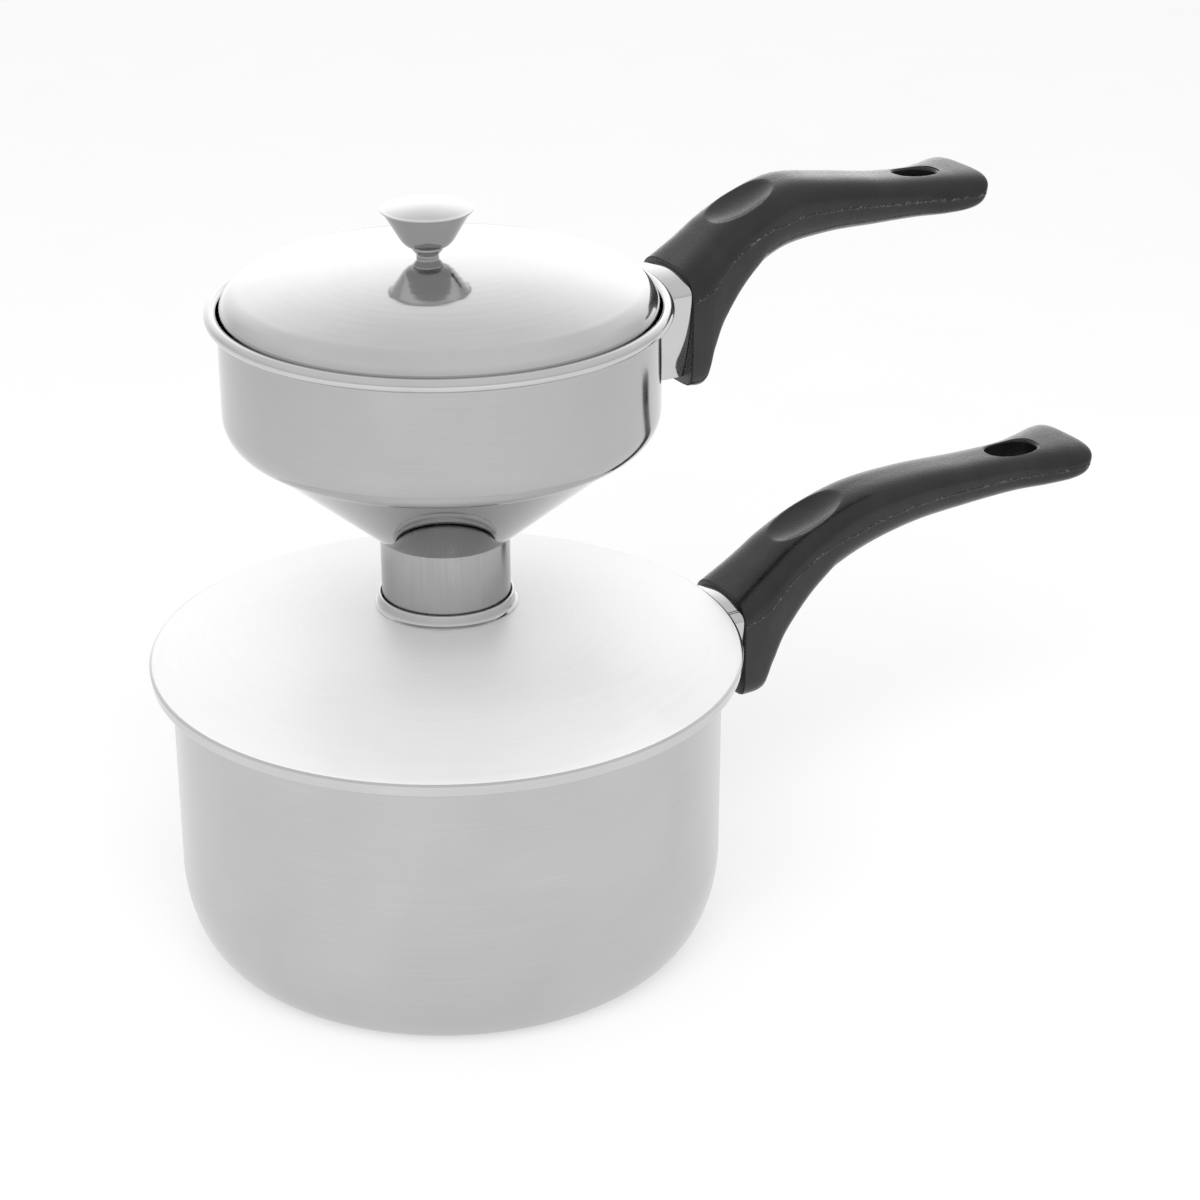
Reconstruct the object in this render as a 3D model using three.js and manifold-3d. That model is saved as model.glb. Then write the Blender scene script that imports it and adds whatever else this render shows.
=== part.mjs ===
// Two-tier couscous steamer in polished stainless steel: a saucepan, its domed lid with a collar,
// a steamer bowl on a funnel whose neck plugs into that collar, and the steamer's own lid.
// Millimetres, +Z up. The saucepan stands on Z = 0, its axis is Z, and both handles point along +X.
import * as THREE from 'three';
import { mergeVertices } from 'three/addons/utils/BufferGeometryUtils.js';
import Module from 'manifold-3d';

const wasm = await Module();
wasm.setup();

// Driving dimensions
const gap = 0.3;
const sheet = 0.9;
// How far cutting tools reach past what they cut
const overshoot = 20;

const pan = {
  footRadius: 76,
  wallRadius: 91.4,
  cornerHeight: 30,
  rimRadius: 96.6,
  bead: 2.2,
  height: 101.7,
};
const panLid = {
  edgeRadius: 98.4,
  edgeBottom: 98,
  edgeTaper: 0.3,
  shoulder: 3.4,
  domePeak: 119.6,
  domeRadius: 280,
  holeRadius: 19.5,
};
const collar = { boreRadius: 21.6, footRadius: 23.6, flare: 1.6, top: 123 };
const bowl = {
  wallRadius: 70.2,
  corner: 11,
  bottom: 177,
  ledgeRadius: 55,
  rimRadius: 74.1,
  bead: 2.1,
  height: 222.4,
};
const sieve = { radius: 58.2, thickness: 1, holeRadius: 3, ringStep: 16, rings: 3, holesPerRing: 6 };
const funnel = { topRadius: 62.4, slope: 40 };
const neck = { radius: 21.2, sleeve: 2.5 };
const topLid = {
  edgeRadius: 69.5,
  edgeBottom: 220.8,
  shoulder: 7.6,
  domePeak: 237.1,
  domeRadius: 241,
  skirtBottom: 214,
};
// The knob's screw hole was punched a little off the middle of the lid
const knob = {
  offsetX: -3.1,
  offsetY: 1.6,
  footRadius: 3.6,
  footHeight: 2.8,
  waistRadius: 5,
  cupHeight: 11.4,
  coneRadius: 7.2,
  bottomTurn: 0.28,
  capRadius: 14.7,
  capRim: 0.5,
  capCrown: 1.9,
};

// Each handle: where its root face stands, how long it is, how high its crest rises over the root's top
// edge, how far the grip droops again towards the tail, and how deep its foot reaches.
const panHandle = { rootX: 107.7, rootTop: 98.5, length: 153.5, crest: 28, droop: 0, foot: 36 };
const steamerHandle = { rootX: 84, rootTop: 221.5, length: 121, crest: 23, droop: 7, foot: 39 };

// Ribs of the handle from root to tail. along and rise are shares of the length and of the crest; lean is how
// far the underside trails behind the top, depth is top to underside and half is the half width. A rib with
// no depth stands on the flat foot.
const handleRibs = [
  { along: 0, rise: 0, lean: 0, half: 17 },
  { along: 0.065, rise: 0.24, lean: 1.2, half: 16.3 },
  { along: 0.1, rise: 0.37, lean: 2.4, depth: 39, half: 15.7 },
  { along: 0.15, rise: 0.555, lean: 3.6, depth: 33, half: 14.8 },
  { along: 0.247, rise: 0.81, lean: 5.5, depth: 27.5, half: 13.6 },
  { along: 0.372, rise: 1, lean: 6, depth: 23.5, half: 12.6 },
  { along: 0.522, rise: 1.05, lean: 5, depth: 19, half: 11.6 },
  { along: 0.692, rise: 1.02, lean: 5, depth: 16, half: 11 },
  { along: 0.82, rise: 1.01, lean: 4.5, depth: 14.6, half: 11.8 },
  { along: 0.9, rise: 1.02, lean: 4, depth: 14.4, half: 14.8 },
  { along: 0.955, rise: 1.035, lean: 3.5, depth: 13.8, half: 17.2 },
  { along: 0.985, rise: 1.035, lean: 3, depth: 12.2, half: 17 },
  { along: 1, rise: 1, lean: 3, depth: 8.8, half: 13.5 },
];
const crestAt = 0.372;
// Squareness of the sections: 2 is an ellipse, more is a rounded square. The root's arch and the foot each
// pass into the grip within a share of the length.
const squareness = { rootArch: 3.9, archTo: 0.13, gripTop: 3.3, foot: 9, footTo: 0.3, gripUnder: 2.6 };
// Lengths of the dent and all of the hole are shares of the handle's length; the hole is longer to the root
const thumbDent = { along: 0.228, length: 0.24, width: 21.5, depth: 3, radius: 7 };
const hangHole = { along: 0.824, toRoot: 0.072, toTail: 0.06, half: 0.05, reach: 30 };

// Steel root of each handle: a flame guard round a bracket with a threaded boss, and the screw that holds the
// handle on the boss. Heights are below the root's top edge.
const guard = { inset: 1, half: 16, crown: 6, footHalf: 9, aboveFoot: 2.5, sheet: 0.9 };
const bracket = {
  drop: 25,
  plateWidth: 15,
  plateHeight: 20,
  plateThickness: 2,
  bossRadius: 5,
  socketDepth: 4,
};
const handleScrew = { radius: 2.5, headRadius: 4.2, headHeight: 2.8, reach: 16, seat: 7.5 };
const handleWasher = { bore: 2.8, radius: 4.6, thickness: 0.8 };

// The knob is held by a screw from under the lid
const knobScrew = { radius: 1.9, headRadius: 3.6, headHeight: 2, reach: 3.6 };
const knobWasher = { bore: 2.2, radius: 5, thickness: 0.7 };

// How finely round shapes are cut
const vesselSteps = 40;
const neckSteps = 30;
const knobSteps = 20;
const fastenerSteps = 16;
const holeSteps = 8;
const arcSteps = 3;
const domeArcSteps = 2;
const handleRings = 24;
const ringPoints = 20;
const dentSteps = [16, 12];
const eggSteps = 5;
const guardArcSteps = 6;

const polishedSteel = new THREE.MeshStandardMaterial({ color: 0xd9dadb, roughness: 0.16, metalness: 1 });
const satinSteel = new THREE.MeshStandardMaterial({ color: 0xc6c8ca, roughness: 0.32, metalness: 1 });
const phenolic = new THREE.MeshStandardMaterial({ color: 0x1d1d1e, roughness: 0.55, metalness: 0 });
const platedSteel = new THREE.MeshStandardMaterial({ color: 0xb4b6b8, roughness: 0.38, metalness: 1 });

// Closed bodies
function signedVolume(position, index) {
  const a = new THREE.Vector3();
  const b = new THREE.Vector3();
  const c = new THREE.Vector3();
  let sum = 0;
  for (let i = 0; i < index.length; i += 3) {
    a.fromBufferAttribute(position, index[i]);
    b.fromBufferAttribute(position, index[i + 1]);
    c.fromBufferAttribute(position, index[i + 2]);
    sum += a.dot(b.cross(c)) / 6;
  }
  return sum;
}

// One closed body with shared corners and its faces pointing out
function closedBody(geometry) {
  geometry.deleteAttribute('normal');
  geometry.deleteAttribute('uv');
  const merged = mergeVertices(geometry, 1e-3);
  const faces = [];
  for (let i = 0; i < merged.index.count; i += 3) {
    const [a, b, c] = merged.index.array.slice(i, i + 3);
    if (a !== b && b !== c && c !== a) {
      faces.push(a, b, c);
    }
  }
  const inward = signedVolume(merged.attributes.position, faces) < 0;
  merged.setIndex(inward ? faces.reverse() : faces);
  return merged;
}

function toSolid(geometry) {
  const body = closedBody(geometry);
  return new wasm.Manifold(new wasm.Mesh({
    numProp: 3,
    vertProperties: new Float32Array(body.attributes.position.array),
    triVerts: new Uint32Array(body.index.array),
  }));
}

function fromSolid(solid) {
  const mesh = solid.getMesh();
  const geometry = new THREE.BufferGeometry();
  geometry.setAttribute('position', new THREE.BufferAttribute(mesh.vertProperties, 3));
  geometry.setIndex(new THREE.BufferAttribute(mesh.triVerts, 1));
  return geometry;
}

function cut(geometry, ...tools) {
  return fromSolid(tools.reduce((solid, tool) => solid.subtract(toSolid(tool)), toSolid(geometry)));
}

function join(geometry, ...others) {
  return fromSolid(others.reduce((solid, other) => solid.add(toSolid(other)), toSolid(geometry)));
}

// A profile of radius and height turned about Z
function turned(path, steps, fineness = arcSteps) {
  return closedBody(new THREE.LatheGeometry(path.getPoints(fineness), steps).rotateX(Math.PI / 2));
}

function turnedRing(corners, steps) {
  const path = new THREE.Path(corners.map(([r, z]) => new THREE.Vector2(r, z)));
  path.closePath();
  return turned(path, steps);
}

// A round bar along X between two stations
function bar(radius, fromX, toX, z) {
  const geometry = new THREE.CylinderGeometry(radius, radius, toX - fromX, fastenerSteps);
  return geometry.rotateZ(-Math.PI / 2).translate((fromX + toX) / 2, 0, z);
}

// A skin over rings of equal count, closed by a fan at each end
function loft(rings) {
  const count = rings[0].length;
  const points = rings.flat();
  const index = [];
  for (let i = 0; i + 1 < rings.length; i += 1) {
    for (let j = 0; j < count; j += 1) {
      const a = i * count + j;
      const b = i * count + (j + 1) % count;
      index.push(a, b, b + count, a, b + count, a + count);
    }
  }
  const ends = [[0, false], [(rings.length - 1) * count, true]];
  for (const [start, far] of ends) {
    const middle = new THREE.Vector3();
    for (let j = 0; j < count; j += 1) {
      middle.addScaledVector(points[start + j], 1 / count);
    }
    points.push(middle);
    for (let j = 0; j < count; j += 1) {
      const a = start + j;
      const b = start + (j + 1) % count;
      index.push(points.length - 1, far ? a : b, far ? b : a);
    }
  }
  const geometry = new THREE.BufferGeometry().setFromPoints(points);
  geometry.setIndex(index);
  return closedBody(geometry);
}

// Profiles of the vessels
const degrees = Math.PI / 180;

// Quarter of an ellipse from an upright wall to a level floor, with fewer chords than the outer skin
function innerCorner(path, wallR, wallZ, floorR, floorZ) {
  const pull = 0.5523;
  const pullZ = wallZ + pull * (floorZ - wallZ);
  const pullR = floorR + pull * (wallR - floorR);
  path.lineTo(wallR, wallZ);
  path.bezierCurveTo(wallR, pullZ, pullR, floorZ, floorR, floorZ);
}

// Up the outside of a wall, round its rolled rim and down the inside
function rolledRim(path, vessel) {
  const outside = vessel.wallRadius;
  const inside = vessel.wallRadius - sheet;
  const middleR = vessel.rimRadius - vessel.bead;
  const middleZ = vessel.height - vessel.bead;
  const flareStart = vessel.height - 4 * vessel.bead;
  const enter = 220 * degrees;
  const leave = 500 * degrees;
  const point = (angle) => [middleR + vessel.bead * Math.cos(angle), middleZ + vessel.bead * Math.sin(angle)];
  path.lineTo(outside, flareStart);
  path.quadraticCurveTo(outside, middleZ - vessel.bead, ...point(enter));
  path.absarc(middleR, middleZ, vessel.bead, enter, leave, false);
  path.quadraticCurveTo(inside, middleZ - vessel.bead, inside, flareStart);
}

function panShell() {
  const path = new THREE.Path();
  const cornerWidth = pan.wallRadius - pan.footRadius;
  path.moveTo(0, 0);
  path.lineTo(pan.footRadius, 0);
  path.absellipse(pan.footRadius, pan.cornerHeight, cornerWidth, pan.cornerHeight, -Math.PI / 2, 0, false, 0);
  rolledRim(path, pan);
  innerCorner(path, pan.wallRadius - sheet, pan.cornerHeight, pan.footRadius, sheet);
  path.lineTo(0, sheet);
  return turned(path, vesselSteps);
}

// Height of a dome at a radius
function domeHeight(peak, radius, r) {
  return peak - radius + Math.sqrt(radius * radius - r * r);
}

// Dome that caps the pan's rim with a turned-down edge and has the steam hole in its middle
function panLidShell() {
  const { edgeRadius, edgeBottom, edgeTaper, shoulder, domePeak, domeRadius, holeRadius } = panLid;
  const shoulderRadius = edgeRadius - shoulder;
  const centre = domePeak - domeRadius;
  const inner = domeRadius - sheet;
  const widest = edgeBottom + shoulder;
  const edgeFoot = edgeRadius - edgeTaper;
  const outerAngle = (r) => Math.acos(r / domeRadius);
  const innerAngle = (r) => Math.acos(r / inner);
  const path = new THREE.Path();
  path.absarc(0, centre, domeRadius, outerAngle(holeRadius), outerAngle(shoulderRadius), true);
  path.quadraticCurveTo(edgeRadius, domeHeight(domePeak, domeRadius, edgeRadius), edgeRadius, widest);
  path.lineTo(edgeFoot, edgeBottom);
  path.lineTo(edgeFoot - sheet, edgeBottom);
  path.lineTo(edgeRadius - sheet, widest);
  path.absarc(0, centre, inner, innerAngle(shoulderRadius), innerAngle(holeRadius), false);
  path.closePath();
  return turned(path, vesselSteps, domeArcSteps);
}

// Short ring welded round the steam hole, flared where it sits on the lid
function lidCollar() {
  const { boreRadius, footRadius, flare, top } = collar;
  const lidTop = (r) => domeHeight(panLid.domePeak, panLid.domeRadius, r) + gap;
  const outer = boreRadius + sheet;
  const path = new THREE.Path();
  path.moveTo(boreRadius, lidTop(boreRadius));
  path.lineTo(footRadius, lidTop(footRadius));
  path.lineTo(footRadius, lidTop(footRadius) + sheet / 2);
  path.quadraticCurveTo(outer, lidTop(footRadius) + sheet, outer, lidTop(outer) + flare);
  path.lineTo(outer, top);
  path.lineTo(boreRadius, top);
  path.closePath();
  return turned(path, neckSteps, domeArcSteps);
}

function steamerBowl() {
  const { wallRadius, corner, bottom, ledgeRadius } = bowl;
  const turnR = wallRadius - corner;
  const turnZ = bottom + corner;
  const path = new THREE.Path();
  path.moveTo(ledgeRadius, bottom);
  path.lineTo(turnR, bottom);
  path.absarc(turnR, turnZ, corner, -Math.PI / 2, 0, false);
  rolledRim(path, bowl);
  innerCorner(path, wallRadius - sheet, turnZ, turnR, bottom + sheet);
  path.lineTo(ledgeRadius, bottom + sheet);
  path.closePath();
  return turned(path, vesselSteps);
}

// Perforated disc that carries the couscous on the bowl's ledge
function steamerSieve() {
  const floor = bowl.bottom + sheet + gap;
  const top = floor + sieve.thickness;
  const disc = new THREE.CylinderGeometry(sieve.radius, sieve.radius, sieve.thickness, vesselSteps);
  disc.rotateX(Math.PI / 2).translate(0, 0, (floor + top) / 2);
  const holes = [];
  for (let ring = 0; ring <= sieve.rings; ring += 1) {
    const count = Math.max(1, ring * sieve.holesPerRing);
    for (let i = 0; i < count; i += 1) {
      const angle = (i / count) * 2 * Math.PI;
      const r = ring * sieve.ringStep;
      const deep = 3 * sieve.thickness;
      const punch = new THREE.CylinderGeometry(sieve.holeRadius, sieve.holeRadius, deep, holeSteps);
      punch.rotateX(Math.PI / 2);
      punch.translate(r * Math.cos(angle), r * Math.sin(angle), (floor + top) / 2);
      holes.push(punch);
    }
  }
  return cut(disc, ...holes);
}

// Height of the bowl's outside corner at a radius
function bowlUnderside(r) {
  const reach = r - (bowl.wallRadius - bowl.corner);
  return bowl.bottom + bowl.corner - Math.sqrt(bowl.corner * bowl.corner - reach * reach);
}

const funnelTop = bowlUnderside(funnel.topRadius) - gap;
const funnelRise = Math.tan(funnel.slope * degrees);
const funnelMouth = neck.radius + gap;
const funnelBottom = funnelTop - (funnel.topRadius - funnelMouth) * funnelRise;

// Cone welded under the bowl, with its small end round the neck
function steamerFunnel() {
  const wall = sheet / Math.cos(funnel.slope * degrees);
  const innerTop = funnel.topRadius - wall / funnelRise;
  return turnedRing([
    [funnelMouth, funnelBottom],
    [funnel.topRadius, funnelTop],
    [innerTop, bowlUnderside(innerTop) - gap],
    [funnelMouth, funnelBottom + wall],
  ], vesselSteps);
}

function steamerNeck() {
  const bottom = domeHeight(panLid.domePeak, panLid.domeRadius, panLid.holeRadius) + gap;
  const top = funnelBottom + neck.sleeve;
  const bore = neck.radius - sheet;
  return turnedRing([[bore, bottom], [neck.radius, bottom], [neck.radius, top], [bore, top]], neckSteps);
}

// Lid whose shoulder sits down inside the rolled rim, with a skirt that hangs into the bowl
function topLidShell() {
  const { edgeRadius, edgeBottom, shoulder, domePeak, domeRadius, skirtBottom } = topLid;
  const skirt = bowl.wallRadius - sheet - 2 * gap;
  const centre = domePeak - domeRadius;
  const turnR = edgeRadius - shoulder;
  const tilt = Math.asin(turnR / (domeRadius - shoulder));
  const turnZ = centre + (domeRadius - shoulder) * Math.cos(tilt);
  const underDome = (r) => domeHeight(domePeak, domeRadius, r) - sheet;
  const path = new THREE.Path();
  path.absarc(0, centre, domeRadius, Math.PI / 2, Math.PI / 2 - tilt, true);
  path.absarc(turnR, turnZ, shoulder, Math.PI / 2 - tilt, Math.asin((edgeBottom - turnZ) / shoulder), true);
  path.lineTo(skirt, edgeBottom);
  path.lineTo(skirt, skirtBottom);
  path.lineTo(skirt - sheet, skirtBottom);
  path.lineTo(skirt - sheet, edgeBottom);
  path.quadraticCurveTo(skirt - sheet, underDome(skirt), turnR, underDome(turnR));
  path.absarc(0, centre, domeRadius - sheet, Math.acos(turnR / (domeRadius - sheet)), Math.PI / 2, false);
  const boreRadius = knobScrew.radius + gap;
  const bore = new THREE.CylinderGeometry(boreRadius, boreRadius, overshoot, fastenerSteps);
  bore.rotateX(Math.PI / 2).translate(knob.offsetX, knob.offsetY, domePeak);
  return cut(turned(path, vesselSteps, domeArcSteps), bore);
}

// Knob, in its own frame: the lid's skin is at Z = 0
function knobFoot() {
  const { footRadius, waistRadius, footHeight } = knob;
  const bore = knobScrew.radius + gap;
  const top = gap + footHeight;
  return turnedRing([
    [bore, gap],
    [footRadius, gap],
    [footRadius, gap + 0.2 * footHeight],
    [waistRadius, gap + 0.75 * footHeight],
    [waistRadius, top],
    [bore, top],
  ], knobSteps);
}

// Hollow conical cup on the foot, its bottom rounded into the cone
function knobCup() {
  const { footHeight, cupHeight, waistRadius, coneRadius, bottomTurn, capRadius, capRim } = knob;
  const base = footHeight + 2 * gap;
  const top = base + cupHeight;
  const lip = capRadius - capRim;
  const turnR = coneRadius + bottomTurn * (lip - coneRadius);
  const turnZ = base + bottomTurn * cupHeight;
  const path = new THREE.Path();
  path.moveTo(0, base);
  path.lineTo(waistRadius, base);
  path.quadraticCurveTo(coneRadius, base, turnR, turnZ);
  path.lineTo(lip, top);
  path.lineTo(lip - sheet, top);
  path.lineTo(turnR - sheet, turnZ);
  path.quadraticCurveTo(coneRadius - sheet, base + sheet, waistRadius, base + sheet);
  path.lineTo(0, base + sheet);
  return turned(path, knobSteps);
}

// Slightly domed cap crimped over the cup's lip
function knobCap() {
  const { capRadius, capRim, capCrown } = knob;
  const bottom = knob.footHeight + knob.cupHeight + 3 * gap;
  const rim = bottom + capRim;
  const path = new THREE.Path();
  path.moveTo(0, bottom);
  path.lineTo(capRadius - 0.5 * capRim, bottom);
  path.quadraticCurveTo(capRadius, bottom, capRadius, bottom + 0.5 * capRim);
  path.quadraticCurveTo(capRadius, rim, capRadius - capRim, rim);
  path.quadraticCurveTo(0.5 * capRadius, rim + capCrown, 0, rim + capCrown);
  return turned(path, knobSteps, domeArcSteps);
}

// Screw with a domed head, its shank pointing up the profile from the head's seat at 0
function panHeadScrew({ radius, headRadius, headHeight, reach }) {
  const chamfer = 0.25 * radius;
  const path = new THREE.Path();
  path.moveTo(0, -headHeight);
  path.quadraticCurveTo(headRadius, -headHeight, headRadius, -0.35 * headHeight);
  path.lineTo(headRadius, 0);
  path.lineTo(radius, 0);
  path.lineTo(radius, reach - chamfer);
  path.lineTo(radius - chamfer, reach);
  path.lineTo(0, reach);
  return turned(path, fastenerSteps);
}

function flatWasher({ bore, radius, thickness }) {
  return turnedRing([[bore, 0], [radius, 0], [radius, thickness], [bore, thickness]], fastenerSteps);
}

// Handles, each in the frame of its root: X = 0 on the root face, Z = 0 on its top edge
function handleLines(spec) {
  const tops = handleRibs.map(({ along, rise }) => {
    const past = Math.max(0, along - crestAt) / (1 - crestAt);
    return new THREE.Vector2(along * spec.length, rise * spec.crest - spec.droop * past * (2 - past));
  });
  const unders = handleRibs.map(({ lean, depth }, i) => {
    const { x, y } = tops[i];
    return new THREE.Vector2(x - lean, depth ? y - depth : -spec.foot);
  });
  const halves = handleRibs.map(({ along, half }) => new THREE.Vector2(along, half));
  return {
    top: new THREE.SplineCurve(tops),
    under: new THREE.SplineCurve(unders),
    half: new THREE.SplineCurve(halves),
  };
}

// Place of a share of the length among the ribs, from 0 to 1
function ribPlace(along) {
  const next = handleRibs.findIndex((rib) => rib.along > along);
  const from = handleRibs[next - 1].along;
  const to = handleRibs[next].along;
  return (next - 1 + (along - from) / (to - from)) / (handleRibs.length - 1);
}

// Squareness of the upper and the lower half of a section
function sectionSquareness(along) {
  const { rootArch, archTo, gripTop, foot, footTo, gripUnder } = squareness;
  const upper = gripTop + (rootArch - gripTop) * Math.max(0, 1 - along / archTo);
  const lower = gripUnder + (foot - gripUnder) * Math.max(0, 1 - along / footTo);
  return { upper, lower };
}

// One rounded-square section between the top line and the underside
function handleRing(lines, place) {
  const top = lines.top.getPoint(place);
  const under = lines.under.getPoint(place);
  const { x: along, y: half } = lines.half.getPoint(place);
  const { upper, lower } = sectionSquareness(along);
  const ring = [];
  for (let j = 0; j < ringPoints; j += 1) {
    const angle = (j / ringPoints) * 2 * Math.PI;
    const power = 2 / (Math.sin(angle) > 0 ? upper : lower);
    const up = Math.sign(Math.sin(angle)) * Math.abs(Math.sin(angle)) ** power;
    const side = Math.sign(Math.cos(angle)) * Math.abs(Math.cos(angle)) ** power;
    const x = (top.x + under.x) / 2 + up * (top.x - under.x) / 2;
    const z = (top.y + under.y) / 2 + up * (top.y - under.y) / 2;
    ring.push(new THREE.Vector3(x, side * half, z));
  }
  return ring;
}

// Puts a tool on the handle's top line: its X runs along the grip and its Z out of the top
function onTopLine(geometry, lines, along, lift) {
  const place = ribPlace(along);
  const point = lines.top.getPoint(place);
  const tangent = lines.top.getTangent(place);
  const slope = Math.atan2(tangent.y, tangent.x);
  geometry.translate(0, 0, lift);
  geometry.rotateY(-slope);
  return geometry.translate(point.x, 0, point.y);
}

// Shallow ball that presses the thumb dent into the top
function thumbDentTool(spec, lines) {
  const { along, length, width, depth, radius } = thumbDent;
  const pressed = Math.sqrt(radius * radius - (radius - depth) ** 2);
  const dent = new THREE.SphereGeometry(radius, ...dentSteps);
  dent.scale(length * spec.length / 2 / pressed, width / 2 / pressed, 1);
  return onTopLine(dent, lines, along, radius - depth);
}

// Egg-shaped hole through the tail for hanging the handle on a hook
function hangHoleTool(spec, lines) {
  const { along, toRoot, toTail, half, reach } = hangHole;
  const egg = new THREE.Shape();
  egg.absellipse(0, 0, toTail * spec.length, half * spec.length, -Math.PI / 2, Math.PI / 2, false, 0);
  egg.absellipse(0, 0, toRoot * spec.length, half * spec.length, Math.PI / 2, 1.5 * Math.PI, false, 0);
  const options = { depth: 2 * reach, bevelEnabled: false, curveSegments: eggSteps };
  const hole = new THREE.ExtrudeGeometry(egg, options);
  return onTopLine(hole, lines, along, -reach);
}

// Moulded handle: an S-curved loft with a thumb dent, a hang hole, a socket for the bracket's boss and a
// counterbored screw hole that opens in the underside of the bend
function handleBody(spec) {
  const lines = handleLines(spec);
  const rings = Array.from({ length: handleRings + 1 }, (_, i) => handleRing(lines, i / handleRings));
  const socket = bar(bracket.bossRadius + gap, -gap, bracket.socketDepth + gap, -bracket.drop);
  const shankBore = bar(handleScrew.radius + gap, 0, handleScrew.seat + gap, -bracket.drop);
  const headBore = bar(handleWasher.radius + 2 * gap, handleScrew.seat, 0.25 * spec.length, -bracket.drop);
  return cut(loft(rings), thumbDentTool(spec, lines), hangHoleTool(spec, lines), socket, shankBore, headBore);
}

// Room that a vessel and its lid need beside the handle, seen from the handle's root
function vesselRoom(vessel, spec, lid) {
  const slack = 1 / Math.cos(Math.PI / vesselSteps);
  const wall = vessel.wallRadius * slack + gap;
  const rim = vessel.rimRadius * slack + gap;
  const flareStart = vessel.height - 4 * vessel.bead;
  const rimBottom = vessel.height - 2 * vessel.bead - gap;
  const top = vessel.height + overshoot;
  const lidEdge = lid ? lid.edgeRadius * slack + 2 * gap : rim;
  const lidBottom = lid ? lid.edgeBottom - 2 * gap : top - gap;
  const path = new THREE.Path();
  path.moveTo(0, 0);
  path.lineTo(wall, 0);
  path.lineTo(wall, flareStart);
  path.lineTo(rim, rimBottom);
  path.lineTo(rim, lidBottom);
  path.lineTo(lidEdge, lidBottom);
  path.lineTo(lidEdge, top);
  path.lineTo(0, top);
  return turned(path, vesselSteps).translate(-spec.rootX, 0, -spec.rootTop);
}

// A flat outline in Y and Z drawn out along X
function alongX(shape, fromX, toX) {
  const options = { depth: toX - fromX, bevelEnabled: false, curveSegments: guardArcSteps };
  const geometry = new THREE.ExtrudeGeometry(shape, options);
  return geometry.rotateX(Math.PI / 2).rotateZ(Math.PI / 2).translate(fromX, 0, 0);
}

// Bent steel sleeve, an arch that narrows to its open foot, between the vessel's wall and the handle
function flameGuard(vessel, spec, lid) {
  const { inset, half, crown, footHalf, aboveFoot } = guard;
  const spring = -inset - crown;
  const foot = aboveFoot - spec.foot;
  const bend = 0.6 * foot + 0.4 * spring;
  const shape = new THREE.Shape();
  shape.moveTo(-footHalf, foot);
  shape.quadraticCurveTo(-half, bend, -half, spring);
  shape.absellipse(0, spring, half, crown, Math.PI, 0, true, 0);
  shape.quadraticCurveTo(half, bend, footHalf, foot);
  shape.lineTo(footHalf - guard.sheet, foot);
  shape.quadraticCurveTo(half - guard.sheet, bend, half - guard.sheet, spring);
  shape.absellipse(0, spring, half - guard.sheet, crown - guard.sheet, 0, Math.PI, false, 0);
  shape.quadraticCurveTo(-half + guard.sheet, bend, -footHalf + guard.sheet, foot);
  shape.closePath();
  const insideWall = vessel.wallRadius - spec.rootX - half;
  return cut(alongX(shape, insideWall, -gap), vesselRoom(vessel, spec, lid));
}

// Plate welded to the wall with a threaded boss that reaches into the handle's root
function handleBracket(vessel, spec) {
  const { drop, plateWidth, plateHeight, plateThickness, bossRadius, socketDepth } = bracket;
  const wallX = vessel.wallRadius - spec.rootX;
  const plateFace = wallX + plateThickness + gap;
  const plate = new THREE.BoxGeometry(3 * plateThickness, plateWidth, plateHeight);
  plate.translate(plateFace - 1.5 * plateThickness, 0, -drop);
  const boss = bar(bossRadius, wallX, socketDepth, -drop);
  const thread = bar(handleScrew.radius + gap, plateFace + plateThickness, socketDepth + gap, -drop);
  return cut(join(plate, boss), vesselRoom(vessel, spec), thread);
}

// Assembly
function piece(name, geometry, material) {
  const body = closedBody(geometry);
  body.computeVertexNormals();
  const mesh = new THREE.Mesh(body, material);
  mesh.name = name;
  return mesh;
}

function handleSet(prefix, vessel, spec, lid) {
  const set = new THREE.Group();
  set.position.set(spec.rootX, 0, spec.rootTop);
  const washer = piece(`${prefix}_handle_washer`, flatWasher(handleWasher), platedSteel);
  washer.position.set(handleScrew.seat + gap, 0, -bracket.drop);
  washer.rotation.y = Math.PI / 2;
  const screw = piece(`${prefix}_handle_screw`, panHeadScrew(handleScrew), platedSteel);
  screw.position.set(washer.position.x + handleWasher.thickness + gap, 0, -bracket.drop);
  screw.rotation.y = -Math.PI / 2;
  set.add(
    piece(`${prefix}_bracket`, handleBracket(vessel, spec), satinSteel),
    piece(`${prefix}_flame_guard`, flameGuard(vessel, spec, lid), polishedSteel),
    piece(`${prefix}_handle`, handleBody(spec), phenolic),
    washer,
    screw,
  );
  return set;
}

function knobSet() {
  const set = new THREE.Group();
  const reach = Math.hypot(knob.offsetX, knob.offsetY);
  set.position.set(knob.offsetX, knob.offsetY, domeHeight(topLid.domePeak, topLid.domeRadius, reach));
  const washer = piece('knob_washer', flatWasher(knobWasher), platedSteel);
  washer.position.z = -sheet - 1.5 * gap - knobWasher.thickness;
  const screw = piece('knob_screw', panHeadScrew(knobScrew), platedSteel);
  screw.position.z = washer.position.z - gap;
  set.add(
    piece('knob_foot', knobFoot(), polishedSteel),
    piece('knob_cup', knobCup(), polishedSteel),
    piece('knob_cap', knobCap(), polishedSteel),
    washer,
    screw,
  );
  return set;
}

const saucepan = new THREE.Group();
saucepan.add(piece('pan_shell', panShell(), satinSteel), handleSet('pan', pan, panHandle, panLid));

const saucepanLid = new THREE.Group();
saucepanLid.add(
  piece('pan_lid_shell', panLidShell(), polishedSteel),
  piece('pan_lid_collar', lidCollar(), polishedSteel),
);

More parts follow.
